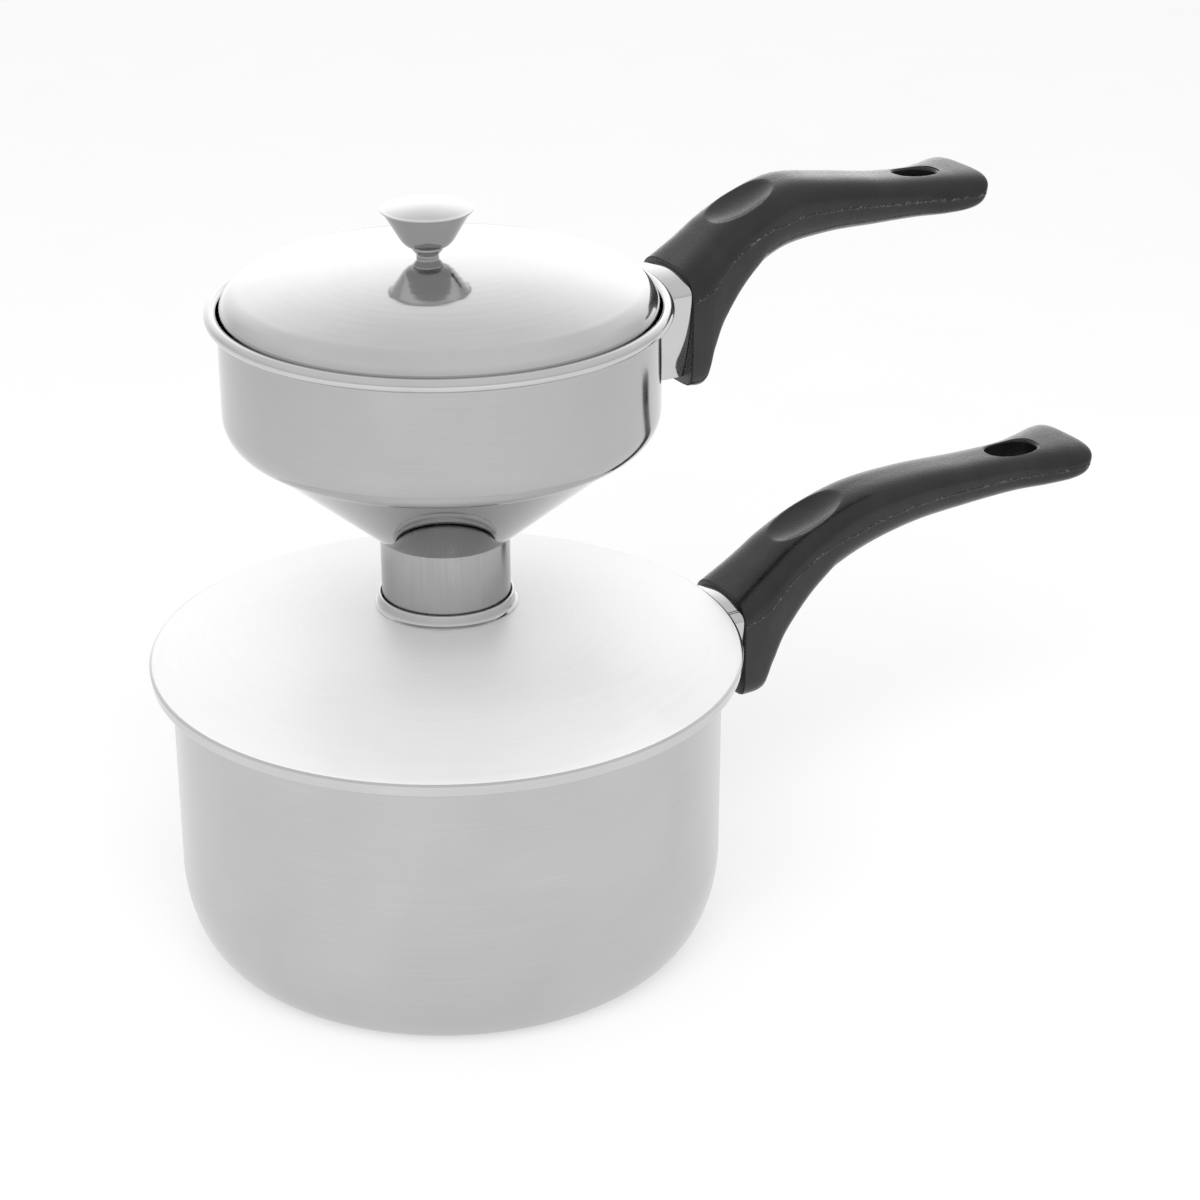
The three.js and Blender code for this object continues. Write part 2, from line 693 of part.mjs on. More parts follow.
const steamer = new THREE.Group();
steamer.add(
  piece('steamer_bowl', steamerBowl(), satinSteel),
  piece('steamer_sieve', steamerSieve(), satinSteel),
  piece('steamer_funnel', steamerFunnel(), polishedSteel),
  piece('steamer_neck', steamerNeck(), satinSteel),
  handleSet('steamer', bowl, steamerHandle),
);

const steamerLid = new THREE.Group();
steamerLid.add(piece('top_lid_shell', topLidShell(), polishedSteel), knobSet());

const couscousSteamer = new THREE.Group();
couscousSteamer.add(saucepan, saucepanLid, steamer, steamerLid);

export default couscousSteamer;
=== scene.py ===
import math
import bmesh
import bpy
from mathutils import Matrix, Vector


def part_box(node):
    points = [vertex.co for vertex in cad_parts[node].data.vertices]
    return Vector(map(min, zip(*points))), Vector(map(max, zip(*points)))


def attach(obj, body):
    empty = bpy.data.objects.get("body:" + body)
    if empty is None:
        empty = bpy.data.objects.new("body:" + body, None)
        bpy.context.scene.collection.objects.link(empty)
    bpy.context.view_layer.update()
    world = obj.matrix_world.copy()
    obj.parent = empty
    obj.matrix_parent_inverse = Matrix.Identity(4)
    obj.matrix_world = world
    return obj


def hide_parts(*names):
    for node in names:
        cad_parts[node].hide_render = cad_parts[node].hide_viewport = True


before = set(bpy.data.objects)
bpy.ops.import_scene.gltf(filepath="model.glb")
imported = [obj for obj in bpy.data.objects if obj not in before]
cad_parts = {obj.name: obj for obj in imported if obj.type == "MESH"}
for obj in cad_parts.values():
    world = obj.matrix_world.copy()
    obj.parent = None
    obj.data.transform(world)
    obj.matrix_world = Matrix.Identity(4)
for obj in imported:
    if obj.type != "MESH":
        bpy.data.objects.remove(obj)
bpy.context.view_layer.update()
mm = 0.001
print("frame loaded:", len(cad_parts), "nodes")

# Camera: a short telephoto above the top lid, handles swung away to the right
cameraSetup = {
    "lens": 84.71,  # mm
    "sensor": 36.0,
    "standOff": 850.3,  # mm from the vessels' axis
    "height": 506.4,
    "around": -117.0,  # degrees from the way the handles point
    "aside": 3.415,  # degrees that it looks past the axis, to the right
    "down": 24.543,
    "roll": 0.115,
}


def makeCamera():
    around = math.radians(cameraSetup["around"])
    heading = around + math.pi - math.radians(cameraSetup["aside"])
    data = bpy.data.cameras.new("stillCamera")
    data.lens = cameraSetup["lens"]
    data.sensor_width = cameraSetup["sensor"]
    camera = bpy.data.objects.new("stillCamera", data)
    place = Vector((math.cos(around), math.sin(around), 0)) * cameraSetup["standOff"]
    place.z = cameraSetup["height"]
    turn = Matrix.Rotation(heading - math.pi / 2, 4, "Z")
    tilt = Matrix.Rotation(math.pi / 2 - math.radians(cameraSetup["down"]), 4, "X")
    roll = Matrix.Rotation(math.radians(cameraSetup["roll"]), 4, "Z")
    camera.matrix_world = Matrix.Translation(place * mm) @ turn @ tilt @ roll
    bpy.context.collection.objects.link(camera)
    bpy.context.scene.camera = camera
    return heading


viewHeading = makeCamera()
print("camera placed")


def linear(hexColour):
    shares = [int(hexColour[i:i + 2], 16) / 255 for i in (1, 3, 5)]
    return [c / 12.92 if c <= 0.04045 else ((c + 0.055) / 1.055) ** 2.4 for c in shares] + [1.0]


def addNode(tree, kind, settings=None, values=None, links=None, stops=None):
    node = tree.nodes.new(kind)
    for key, value in (settings or {}).items():
        setattr(node, key, value)
    for key, value in (values or {}).items():
        node.inputs[key].default_value = value
    for key, source in (links or {}).items():
        tree.links.new(source, node.inputs[key])
    if stops:
        elements = node.color_ramp.elements
        while len(elements) < len(stops):
            elements.new(0.5)
        for element, (position, colour) in zip(elements, stops):
            element.position = position
            element.color = colour
    return node


def newMaterial(name, metallic):
    material = bpy.data.materials.new(name)
    material.use_nodes = True
    tree = material.node_tree
    shader = tree.nodes["Principled BSDF"]
    shader.inputs["Metallic"].default_value = metallic
    return material, tree, shader


noiseLow, noiseHigh = 0.3, 0.7  # nearly all of a noise lies between these


# Stainless sheet, drawn or spun and then buffed on a turning wheel: fine rings round the axis, a slow
# waviness of the sheet that bends reflections, and soft smears left by the cloth
def stainless(name, spec):
    material, tree, shader = newMaterial(name, spec.get("metallic", 1.0))
    coords = addNode(tree, "ShaderNodeTexCoord").outputs["Object"]
    flat = addNode(tree, "ShaderNodeVectorMath", {"operation": "MULTIPLY"}, {1: (1, 1, 0)}, {0: coords})
    reach = addNode(tree, "ShaderNodeVectorMath", {"operation": "LENGTH"}, links={0: flat.outputs[0]})
    spin = addNode(tree, "ShaderNodeVectorMath", {"operation": "NORMALIZE"}, links={0: flat.outputs[0]})
    across = addNode(tree, "ShaderNodeSeparateXYZ", links={0: spin.outputs[0]})
    height = addNode(tree, "ShaderNodeSeparateXYZ", links={0: coords})
    profile = addNode(tree, "ShaderNodeMath", {"operation": "ADD"},
                      links={0: reach.outputs["Value"], 1: height.outputs["Z"]})
    track = addNode(tree, "ShaderNodeCombineXYZ",
                    links={"X": across.outputs["X"], "Y": across.outputs["Y"], "Z": profile.outputs[0]})
    pitch = 1 / (spec["ringPitch"] * mm)
    stretch = addNode(tree, "ShaderNodeVectorMath", {"operation": "MULTIPLY"},
                      {1: (spec["streaks"], spec["streaks"], pitch)}, {0: track.outputs[0]})
    rings = addNode(tree, "ShaderNodeTexNoise", None, {"Scale": 1.0, "Detail": 2.0},
                    {"Vector": stretch.outputs[0]}).outputs["Fac"]
    smears = addNode(tree, "ShaderNodeTexNoise", None,
                     {"Scale": 1 / (spec["smearSize"] * mm), "Detail": 3.0, "Distortion": 0.6},
                     {"Vector": coords}).outputs["Fac"]
    waves = addNode(tree, "ShaderNodeTexNoise", None, {"Scale": 1 / (spec["waveSize"] * mm), "Detail": 1.0},
                    {"Vector": coords}).outputs["Fac"]
    blend = addNode(tree, "ShaderNodeMath", {"operation": "MULTIPLY_ADD"}, {1: spec["ringShare"]},
                    {0: rings, 2: smears})
    whole = 1 + spec["ringShare"]
    grain = addNode(tree, "ShaderNodeMapRange", None,
                    {"From Min": noiseLow * whole, "From Max": noiseHigh * whole},
                    {"Value": blend.outputs[0]}).outputs[0]
    dark, light = [linear(c) for c in spec["colours"]]
    tint = addNode(tree, "ShaderNodeValToRGB", links={"Fac": grain}, stops=[(0, dark), (1, light)])
    tree.links.new(tint.outputs["Color"], shader.inputs["Base Color"])
    low, high = spec["roughness"]
    rough = addNode(tree, "ShaderNodeMapRange", None, {"To Min": low, "To Max": high}, {"Value": grain})
    tree.links.new(rough.outputs[0], shader.inputs["Roughness"])
    sway = addNode(tree, "ShaderNodeBump", None, {"Strength": 1.0, "Distance": spec["waveDepth"] * mm},
                   {"Height": waves})
    grooves = addNode(tree, "ShaderNodeBump", None, {"Strength": 1.0, "Distance": spec["ringDepth"] * mm},
                      {"Height": rings, "Normal": sway.outputs[0]})
    tree.links.new(grooves.outputs[0], shader.inputs["Normal"])
    return material


# Marks of the two polishes that several steels share, sizes in mm. The real lines are finer: drawn this
# coarse, they just show
buffed = {"ringPitch": 1.1, "ringDepth": 0.0003, "ringShare": 0.3, "streaks": 2.5, "smearSize": 38,
          "waveSize": 30, "waveDepth": 0.012}
polished = {"ringPitch": 0.6, "ringDepth": 0.001, "ringShare": 0.5, "streaks": 3, "smearSize": 45,
            "waveSize": 40, "waveDepth": 0.02}

# Mirror buffed: bright hard reflections, a little bent by the sheet
mirrorSteel = stainless("mirror_buffed_stainless", {
    **buffed, "colours": ("#c2c2c2", "#cacaca"), "roughness": (0.05, 0.12),
})
# Bright spun cone: the hardest polish of all, so its reflections keep sharp edges
# Its colour is darker than the mirror steel's: painted shade standing in for the dark reflection of the lid
# below
coneSteel = stainless("spun_stainless_painted_dark", {
    **buffed, "colours": ("#a8a8a8", "#b0b0b0"), "roughness": (0.02, 0.05),
})
# Drawn tube of the neck: greyer and hazier, with streaks along the way it was drawn
tubeSteel = stainless("drawn_stainless_tube", {
    "colours": ("#9a9a9a", "#aeaeae"), "roughness": (0.16, 0.3),
    "ringPitch": 25, "ringDepth": 0.002, "ringShare": 1.0, "streaks": 60, "smearSize": 20,
    "waveSize": 30, "waveDepth": 0.01,
})
# Wall polish: softer, with rings that spread highlights up and down the wall
wallSteel = stainless("fine_polished_stainless", {
    **polished, "colours": ("#b7b7b7", "#bfbfbf"), "roughness": (0.14, 0.24),
})
# The steamer bowl got more of the wheel than the saucepan: shallower rings, a clearer image
bowlSteel = stainless("bright_polished_stainless", {
    **polished, "colours": ("#adadad", "#b4b4b4"), "roughness": (0.08, 0.14), "ringDepth": 0.0006,
})
# Silk polish of the big lid: its fine scratches scatter half of the light, so it looks nearly white
silkSteel = stainless("silk_polished_stainless", {
    **polished, "colours": ("#e6e6e6", "#eeeeee"), "roughness": (0.4, 0.5), "metallic": 0.5,
    "ringPitch": 0.9, "smearSize": 60, "waveSize": 45,
})
# Turned base: open rings from the lathe tool
turnedSteel = stainless("turned_stainless_base", {
    "colours": ("#b4b4b4", "#c2c2c2"), "roughness": (0.24, 0.4),
    "ringPitch": 1.4, "ringDepth": 0.006, "ringShare": 1.0, "streaks": 1.5, "smearSize": 30,
    "waveSize": 40, "waveDepth": 0.03,
})
# Bright zinc plate on the screws and washers: milky and patchy
zincSteel = stainless("bright_zinc_plated_steel", {
    "colours": ("#a9acb0", "#c3c5c8"), "roughness": (0.28, 0.44),
    "ringPitch": 0.5, "ringDepth": 0.002, "ringShare": 0.4, "streaks": 30, "smearSize": 3,
    "waveSize": 4, "waveDepth": 0.01,
})

phenolicSpec = {
    "colours": ("#101011", "#1a1a1b"),
    "speck": "#6a6a6a",
    "roughness": (0.22, 0.4),
    "bodyShine": 0.2,
    "skin": 0.5,
    "skinRoughness": 0.14,
    "pitSize": 0.9,  # mm; real pits are about half of this, drawn coarser so that they show
    "pitDepth": 0.075,
    "smoothest": 0.35,  # values of the pits' noise between which the skin goes from smooth to rough
    "roughest": 0.65,
    "fillerFrom": 0.55,  # and between which scraped filler comes to light
    "fillerFull": 0.68,
    "flowSize": 14,
    "flowDepth": 0.12,
}


# Black phenolic, hot pressed in a two-part mould: a hard skin that shines where light grazes it, over a
# duller body with fine pits, slow flow marks, and pale specks of filler along the mould's parting line
def mouldedPhenolic(spec):
    material, tree, shader = newMaterial("moulded_black_phenolic", 0.0)
    shader.inputs["Specular IOR Level"].default_value = spec["bodyShine"]
    shader.inputs["Coat Weight"].default_value = spec["skin"]
    shader.inputs["Coat Roughness"].default_value = spec["skinRoughness"]
    coords = addNode(tree, "ShaderNodeTexCoord").outputs["Object"]
    pits = addNode(tree, "ShaderNodeTexNoise", None,
                   {"Scale": 1 / (spec["pitSize"] * mm), "Detail": 3.0, "Roughness": 0.6},
                   {"Vector": coords}).outputs["Fac"]
    flow = addNode(tree, "ShaderNodeTexNoise", None,
                   {"Scale": 1 / (spec["flowSize"] * mm), "Detail": 2.0, "Distortion": 0.8},
                   {"Vector": coords}).outputs["Fac"]
    scar = addNode(tree, "ShaderNodeUVMap", {"uv_map": "scar"}).outputs["UV"]
    nearSeam = addNode(tree, "ShaderNodeSeparateXYZ", links={0: scar})
    filler = addNode(tree, "ShaderNodeMapRange", None,
                     {"From Min": spec["fillerFrom"], "From Max": spec["fillerFull"]}, {"Value": pits})
    specks = addNode(tree, "ShaderNodeMath", {"operation": "MULTIPLY"},
                     links={0: nearSeam.outputs["Y"], 1: filler.outputs[0]})
    dark, light = [linear(c) for c in spec["colours"]]
    skin = addNode(tree, "ShaderNodeValToRGB", links={"Fac": flow},
                   stops=[(noiseLow, dark), (noiseHigh, light)])
    tint = addNode(tree, "ShaderNodeMix", {"data_type": "RGBA"}, {"B": linear(spec["speck"])},
                   {"Factor": specks.outputs[0], "A": skin.outputs["Color"]})
    tree.links.new(tint.outputs["Result"], shader.inputs["Base Color"])
    low, high = spec["roughness"]
    rough = addNode(tree, "ShaderNodeMapRange", None,
                    {"From Min": spec["smoothest"], "From Max": spec["roughest"],
                     "To Min": low, "To Max": high}, {"Value": pits})
    tree.links.new(rough.outputs[0], shader.inputs["Roughness"])
    sink = addNode(tree, "ShaderNodeBump", None, {"Strength": 1.0, "Distance": spec["flowDepth"] * mm},
                   {"Height": flow})
    grain = addNode(tree, "ShaderNodeBump", None, {"Strength": 1.0, "Distance": spec["pitDepth"] * mm},
                    {"Height": pits, "Normal": sink.outputs[0]})
    for socket in ("Normal", "Coat Normal"):
        tree.links.new(grain.outputs[0], shader.inputs[socket])
    return material


blackPhenolic = mouldedPhenolic(phenolicSpec)
print("materials mixed")


def arc(middleR, middleZ, radius, start, end, count):
    angles = [math.radians(start + (end - start) * i / count) for i in range(count + 1)]
    return [(middleR + radius * math.cos(a), middleZ + radius * math.sin(a)) for a in angles]


def bezier(controls, count):
    points = []
    for i in range(count + 1):
        layer = [Vector(c) for c in controls]
        while len(layer) > 1:
            layer = [a.lerp(b, i / count) for a, b in zip(layer, layer[1:])]
        points.append(tuple(layer[0]))
    return points


def domeZ(dome, r):
    return dome["peak"] - dome["radius"] + math.sqrt(dome["radius"] ** 2 - r * r)


def domeArc(dome, fromR, toR, count):
    radii = [fromR + (toR - fromR) * i / count for i in range(count + 1)]
    return [(r, domeZ(dome, r)) for r in radii]


doubled = 1e-5  # mm, points closer than this are one
onAxis = 1e-6  # mm, a point closer to the axis than this is on it
# Degrees of a corner that still counts as sharp, the share of a straight that its rounding may take, the
# longest straight without a ring and how close to its ends the first and last ring stand, in mm
dressing = {"sharp": 150, "share": 0.45, "cornerSteps": 5, "longest": 6.0, "guard": 0.5}


# Drops doubled points, rounds sharp corners and splits long straights, so that the smooth shading of a
# wall isn't pulled by its edges
def dress(outline, soft):
    guard = dressing["guard"]
    points = [Vector(p) for i, p in enumerate(outline)
              if (Vector(p) - Vector(outline[i - 1])).length > doubled]
    rounded = []
    for i, here in enumerate(points):
        back = points[i - 1] - here
        ahead = points[(i + 1) % len(points)] - here
        if here.x < onAxis or back.angle(ahead) > math.radians(dressing["sharp"]):
            rounded.append(here)
            continue
        cut = min(soft, dressing["share"] * back.length, dressing["share"] * ahead.length)
        start = here + back.normalized() * cut
        end = here + ahead.normalized() * cut
        rounded += [Vector(p) for p in bezier((start, here, end), dressing["cornerSteps"])]
    split = []
    for i, here in enumerate(rounded):
        ahead = rounded[(i + 1) % len(rounded)]
        split.append(here)
        length = (ahead - here).length
        if length < 4 * guard or (here.x < onAxis and ahead.x < onAxis):
            continue
        inner = max(1, math.ceil((length - 2 * guard) / dressing["longest"]))
        stations = [guard + (length - 2 * guard) * k / inner for k in range(inner + 1)]
        split += [here.lerp(ahead, s / length) for s in stations]
    return split


def meshObject(name, bm, materials):
    bmesh.ops.recalc_face_normals(bm, faces=bm.faces)
    mesh = bpy.data.meshes.new(name)
    bm.to_mesh(mesh)
    bm.free()
    for polygon in mesh.polygons:
        polygon.use_smooth = True
    for material in materials:
        mesh.materials.append(material)
    piece = bpy.data.objects.new(name, mesh)
    bpy.context.collection.objects.link(piece)
    return piece


# A closed outline of (radius, height) in mm turned about Z, then moved by place (in mm)
def turned(name, outline, materials, steps=180, soft=0.35, place=None):
    bm = bmesh.new()
    rings = []
    for r, z in dress(outline, soft):
        if r < onAxis:
            rings.append([bm.verts.new((0, 0, z))] * steps)
            continue
        angles = [2 * math.pi * k / steps for k in range(steps)]
        rings.append([bm.verts.new((r * math.cos(a), r * math.sin(a), z)) for a in angles])
    for i, ring in enumerate(rings):
        above = rings[(i + 1) % len(rings)]
        for k in range(steps):
            after = (k + 1) % steps
            corners = list(dict.fromkeys((ring[k], ring[after], above[after], above[k])))
            if len(corners) > 2:
                bm.faces.new(corners)
    bmesh.ops.transform(bm, matrix=Matrix.Scale(mm, 4) @ (place or Matrix()), verts=bm.verts)
    return meshObject(name, bm, materials)


def settle(piece, body, node):
    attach(piece, body)
    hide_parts(node)


sheet = 0.9  # mm, the steel that every vessel and lid is drawn from
# Degrees round the bead at which the wall tucks in, the slit lies and the curl starts and ends, the slit's
# depth as a share of the bead, and the beads below the top where the wall starts to flare
curlForm = {"tuck": 220, "slit": 228, "start": 236, "end": 500, "slitDepth": 0.62, "flare": 4}


# Up the outside of a wall, round the curled rim with the slit where the curl meets the wall, and down inside
def curledRim(vessel):
    bead = vessel["bead"]
    middle = Vector((vessel["rimRadius"] - bead, vessel["height"] - bead))
    flareStart = vessel["height"] - curlForm["flare"] * bead
    outside, inside = vessel["wallRadius"], vessel["wallRadius"] - sheet
    curl = arc(*middle, bead, curlForm["start"], curlForm["end"], count=40)
    tuck = arc(*middle, bead, curlForm["tuck"], curlForm["tuck"], count=1)[0]
    slitMouth = arc(*middle, bead, curlForm["slit"], curlForm["slit"], count=1)[0]
    slit = middle.lerp(Vector(slitMouth), curlForm["slitDepth"])
    rise = bezier(((outside, flareStart), (outside, middle.y - bead), tuck), count=10)
    fall = bezier((curl[-1], (inside, middle.y - bead), (inside, flareStart)), count=10)
    return rise + [tuple(slit)] + curl + fall


# Saucepan
pan = {"footRadius": 76, "wallRadius": 91.4, "cornerHeight": 30, "cornerSteps": 20, "rimRadius": 96.6,
       "bead": 2.2, "height": 101.7, "turnedUpTo": 0.4}


def panOutline():
    def corner(radius, foot, start, end):
        steps = pan["cornerSteps"]
        angles = [math.radians(start + (end - start) * i / steps) for i in range(steps + 1)]
        width, tall = radius - pan["footRadius"], pan["cornerHeight"] - foot
        return [(pan["footRadius"] + width * math.cos(a), pan["cornerHeight"] + tall * math.sin(a))
                for a in angles]

    outside = corner(pan["wallRadius"], 0, -90, 0)
    inside = corner(pan["wallRadius"] - sheet, sheet, 0, -90)
    return [(0, 0)] + outside + curledRim(pan) + inside + [(0, sheet)]


panShell = turned("panShell", panOutline(), [wallSteel, turnedSteel])
for polygon in panShell.data.polygons:
    if polygon.center.z < pan["turnedUpTo"] * mm:
        polygon.material_index = 1  # lathe-turned underside
settle(panShell, "saucepan", "pan_shell")

# Saucepan's lid with its collar
panLid = {"peak": 119.6, "radius": 280, "edgeRadius": 98.4, "edgeBottom": 98, "taper": 0.3, "shoulder": 3.4,
          "holeRadius": 19.5}
collar = {"bore": 21.6, "foot": 23.6, "flare": 1.6, "top": 123, "footEdge": 0.4}  # foot's edge in sheets


def panLidOutline():
    edge, widest = panLid["edgeRadius"], panLid["edgeBottom"] + panLid["shoulder"]
    turnR, lip = edge - panLid["shoulder"], edge - panLid["taper"]
    under = {"peak": panLid["peak"] - sheet, "radius": panLid["radius"] - sheet}
    shoulder = bezier(((turnR, domeZ(panLid, turnR)), (edge, domeZ(panLid, edge)), (edge, widest)), count=10)
    lipEdge = [(lip, panLid["edgeBottom"]), (lip - sheet, panLid["edgeBottom"]), (edge - sheet, widest)]
    return (domeArc(panLid, panLid["holeRadius"], turnR, count=16) + shoulder + lipEdge
            + domeArc(under, turnR, panLid["holeRadius"], count=16))


def collarOutline():
    bore, foot, top = collar["bore"], collar["foot"], collar["top"]
    outer = bore + sheet
    footZ = domeZ(panLid, foot)
    flare = bezier(((foot, footZ + collar["footEdge"] * sheet), (outer, footZ + sheet),
                    (outer, footZ + collar["flare"])), count=8)
    return [(bore, domeZ(panLid, bore)), (foot, footZ)] + flare + [(outer, top), (bore, top)]


panLidShell = turned("panLidShell", panLidOutline(), [silkSteel, mirrorSteel])
for polygon in panLidShell.data.polygons:
    if polygon.center.xy.length > (panLid["edgeRadius"] - sheet) * mm:
        polygon.material_index = 1  # bright rolled edge
settle(panLidShell, "pan_lid", "pan_lid_shell")
lidCollar = turned("panLidCollar", collarOutline(), [mirrorSteel], steps=128)
settle(lidCollar, "pan_lid", "pan_lid_collar")
print("saucepan and lid turned")

# Steamer: bowl, funnel and neck welded together, with a loose sieve on the bowl's ledge
bowl = {"wallRadius": 70.2, "corner": 11, "bottom": 177, "ledge": 55, "rimRadius": 74.1, "bead": 2.1,
        "height": 222.4, "buffedGlintTo": 1.1}  # beads from the curl's middle
funnel = {"topRadius": 62.4, "slope": 40}
neck = {"radius": 21.2, "bottom": 119.2, "sleeve": 2.5}
sieve = {"radius": 58.2, "floor": 178.2, "thickness": 1.0, "deburr": 0.15, "steps": 120,
         "holeRadius": 3.0, "holeSteps": 28, "ringStep": 16, "rings": 3, "holesPerRing": 6}


def bowlUnderside(r):
    past = max(0, r - bowl["wallRadius"] + bowl["corner"])
    return bowl["bottom"] + bowl["corner"] - math.sqrt(bowl["corner"] ** 2 - past * past)


def bowlOutline():
    turnR, turnZ = bowl["wallRadius"] - bowl["corner"], bowl["bottom"] + bowl["corner"]
    outside = arc(turnR, turnZ, bowl["corner"], -90, 0, count=16)
    inside = arc(turnR, turnZ, bowl["corner"] - sheet, 0, -90, count=16)
    ledge = bowl["ledge"]
    return ([(ledge, bowl["bottom"])] + outside + curledRim(bowl) + inside
            + [(ledge, bowl["bottom"] + sheet)])


slopeRise = math.tan(math.radians(funnel["slope"]))
funnelTop = bowlUnderside(funnel["topRadius"])
funnelMouth = funnelTop - (funnel["topRadius"] - neck["radius"]) * slopeRise


def funnelOutline():
    wall = sheet / math.cos(math.radians(funnel["slope"]))
    inner = funnel["topRadius"] - wall / slopeRise
    return [(neck["radius"], funnelMouth), (funnel["topRadius"], funnelTop), (inner, bowlUnderside(inner)),
            (neck["radius"], funnelMouth + wall)]


def neckOutline():
    bore, top = neck["radius"] - sheet, funnelMouth + neck["sleeve"]
    return [(bore, neck["bottom"]), (neck["radius"], neck["bottom"]), (neck["radius"], top), (bore, top)]


# Disc with punched holes, drawn as a filled curve
def makeSieve():
    curve = bpy.data.curves.new("steamerSieve", "CURVE")
    curve.dimensions = "2D"
    curve.fill_mode = "BOTH"
    edge = sieve["deburr"] * mm
    curve.extrude = sieve["thickness"] * mm / 2 - edge
    curve.bevel_depth = edge
    curve.bevel_resolution = 2
    circles = [(0, 0, sieve["radius"], sieve["steps"], -edge)]
    for ring in range(sieve["rings"] + 1):
        count = max(1, ring * sieve["holesPerRing"])
        for i in range(count):
            angle, reach = 2 * math.pi * i / count, ring * sieve["ringStep"]
            circles.append((reach * math.cos(angle), reach * math.sin(angle), sieve["holeRadius"],
                            sieve["holeSteps"], edge))
    for x, y, radius, steps, inset in circles:
        spline = curve.splines.new("POLY")
        spline.points.add(steps - 1)
        spline.use_cyclic_u = True
        for k, point in enumerate(spline.points):
            angle = 2 * math.pi * k / steps
            away = radius * mm + inset
            point.co = (x * mm + away * math.cos(angle), y * mm + away * math.sin(angle), 0, 1)
    drawn = bpy.data.objects.new("sieveDrawing", curve)
    bpy.context.collection.objects.link(drawn)
    mesh = bpy.data.meshes.new_from_object(drawn.evaluated_get(bpy.context.evaluated_depsgraph_get()))
    bpy.data.objects.remove(drawn)
    mesh.transform(Matrix.Translation((0, 0, (sieve["floor"] + sieve["thickness"] / 2) * mm)))
    mesh.materials.clear()
    mesh.materials.append(wallSteel)
    piece = bpy.data.objects.new("steamerSieve", mesh)
    bpy.context.collection.objects.link(piece)
    return piece


steamerBowl = turned("steamerBowl", bowlOutline(), [bowlSteel, mirrorSteel])
curlMiddle = Vector((bowl["rimRadius"] - bowl["bead"], bowl["height"] - bowl["bead"])) * mm
# The curl takes the paler mirror steel: a smoother polish, plus a paler colour that is painted highlight
# along the bead
for polygon in steamerBowl.data.polygons:
    spot = Vector((polygon.center.xy.length, polygon.center.z))
    if (spot - curlMiddle).length < bowl["buffedGlintTo"] * bowl["bead"] * mm:
        polygon.material_index = 1  # curl buffed smoother, and paler: painted highlight
settle(steamerBowl, "steamer", "steamer_bowl")
steamerFunnel = turned("steamerFunnel", funnelOutline(), [coneSteel])
settle(steamerFunnel, "steamer", "steamer_funnel")
steamerNeck = turned("steamerNeck", neckOutline(), [tubeSteel], steps=128)
settle(steamerNeck, "steamer", "steamer_neck")
settle(makeSieve(), "steamer", "steamer_sieve")
print("steamer turned")

# Steamer's lid
topLid = {"peak": 237.1, "radius": 241, "edgeRadius": 69.5, "edgeBottom": 220.8, "shoulder": 7.6,
          "skirtBottom": 214, "skirtRadius": 68.7}
# The foot flares between two shares of its height, and its bottom sinks a little into the dome
knob = {"x": -3.1, "y": 1.6, "footRadius": 3.6, "footHeight": 3.1, "footSink": 0.4, "flareFrom": 0.2,
        "flareTo": 0.75, "waist": 5, "cupHeight": 11.7, "coneRadius": 7.2, "bottomTurn": 0.28,
        "capRadius": 14.7, "capRim": 0.5, "capCrown": 1.9, "seat": 0.3}


def topLidOutline():
    shoulder, skirt, bottom = topLid["shoulder"], topLid["skirtRadius"], topLid["edgeBottom"]
    turnR = topLid["edgeRadius"] - shoulder
    tilt = math.degrees(math.asin(turnR / (topLid["radius"] - shoulder)))
    turnZ = topLid["peak"] - topLid["radius"] + (topLid["radius"] - shoulder) * math.cos(math.radians(tilt))
    edgeEnd = math.degrees(math.asin((bottom - turnZ) / shoulder))
    under = {"peak": topLid["peak"] - sheet, "radius": topLid["radius"] - sheet}
    edge = arc(turnR, turnZ, shoulder, 90 - tilt, edgeEnd, count=14)
    crown = domeArc(topLid, 0, edge[0][0], count=16)
    hang = [(skirt, bottom), (skirt, topLid["skirtBottom"]), (skirt - sheet, topLid["skirtBottom"])]
    bend = bezier(((skirt - sheet, bottom), (skirt - sheet, domeZ(topLid, skirt) - sheet),
                   (turnR, domeZ(under, turnR))), count=8)
    return crown + edge + hang + bend + domeArc(under, turnR, 0, count=16)


topLidShell = turned("topLidShell", topLidOutline(), [mirrorSteel])
settle(topLidShell, "top_lid", "top_lid_shell")

knobReach = math.hypot(knob["x"], knob["y"])
knobPlace = Matrix.Translation((knob["x"], knob["y"], domeZ(topLid, knobReach)))


def knobFootOutline():
    seat, tall, foot, waist = knob["seat"], knob["footHeight"], knob["footRadius"], knob["waist"]
    bottom = seat - knob["footSink"]
    return [(0, bottom), (foot, bottom), (foot, seat + knob["flareFrom"] * tall),
            (waist, seat + knob["flareTo"] * tall), (waist, seat + tall), (0, seat + tall)]


# A round bottom that runs into a straight cone
def knobCupOutline():
    base = knob["seat"] + knob["footHeight"]
    top, lip = base + knob["cupHeight"], knob["capRadius"] - knob["capRim"]
    waist, cone = knob["waist"], knob["coneRadius"]
    turnR, turnZ = cone + knob["bottomTurn"] * (lip - cone), base + knob["bottomTurn"] * knob["cupHeight"]
    outside = bezier(((waist, base), (cone, base), (turnR, turnZ)), count=14) + [(lip, top)]
    inside = [(lip - sheet, top)] + bezier(((turnR - sheet, turnZ), (cone - sheet, base + sheet),
                                            (waist, base + sheet)), count=14)
    return [(0, base)] + outside + inside + [(0, base + sheet)]


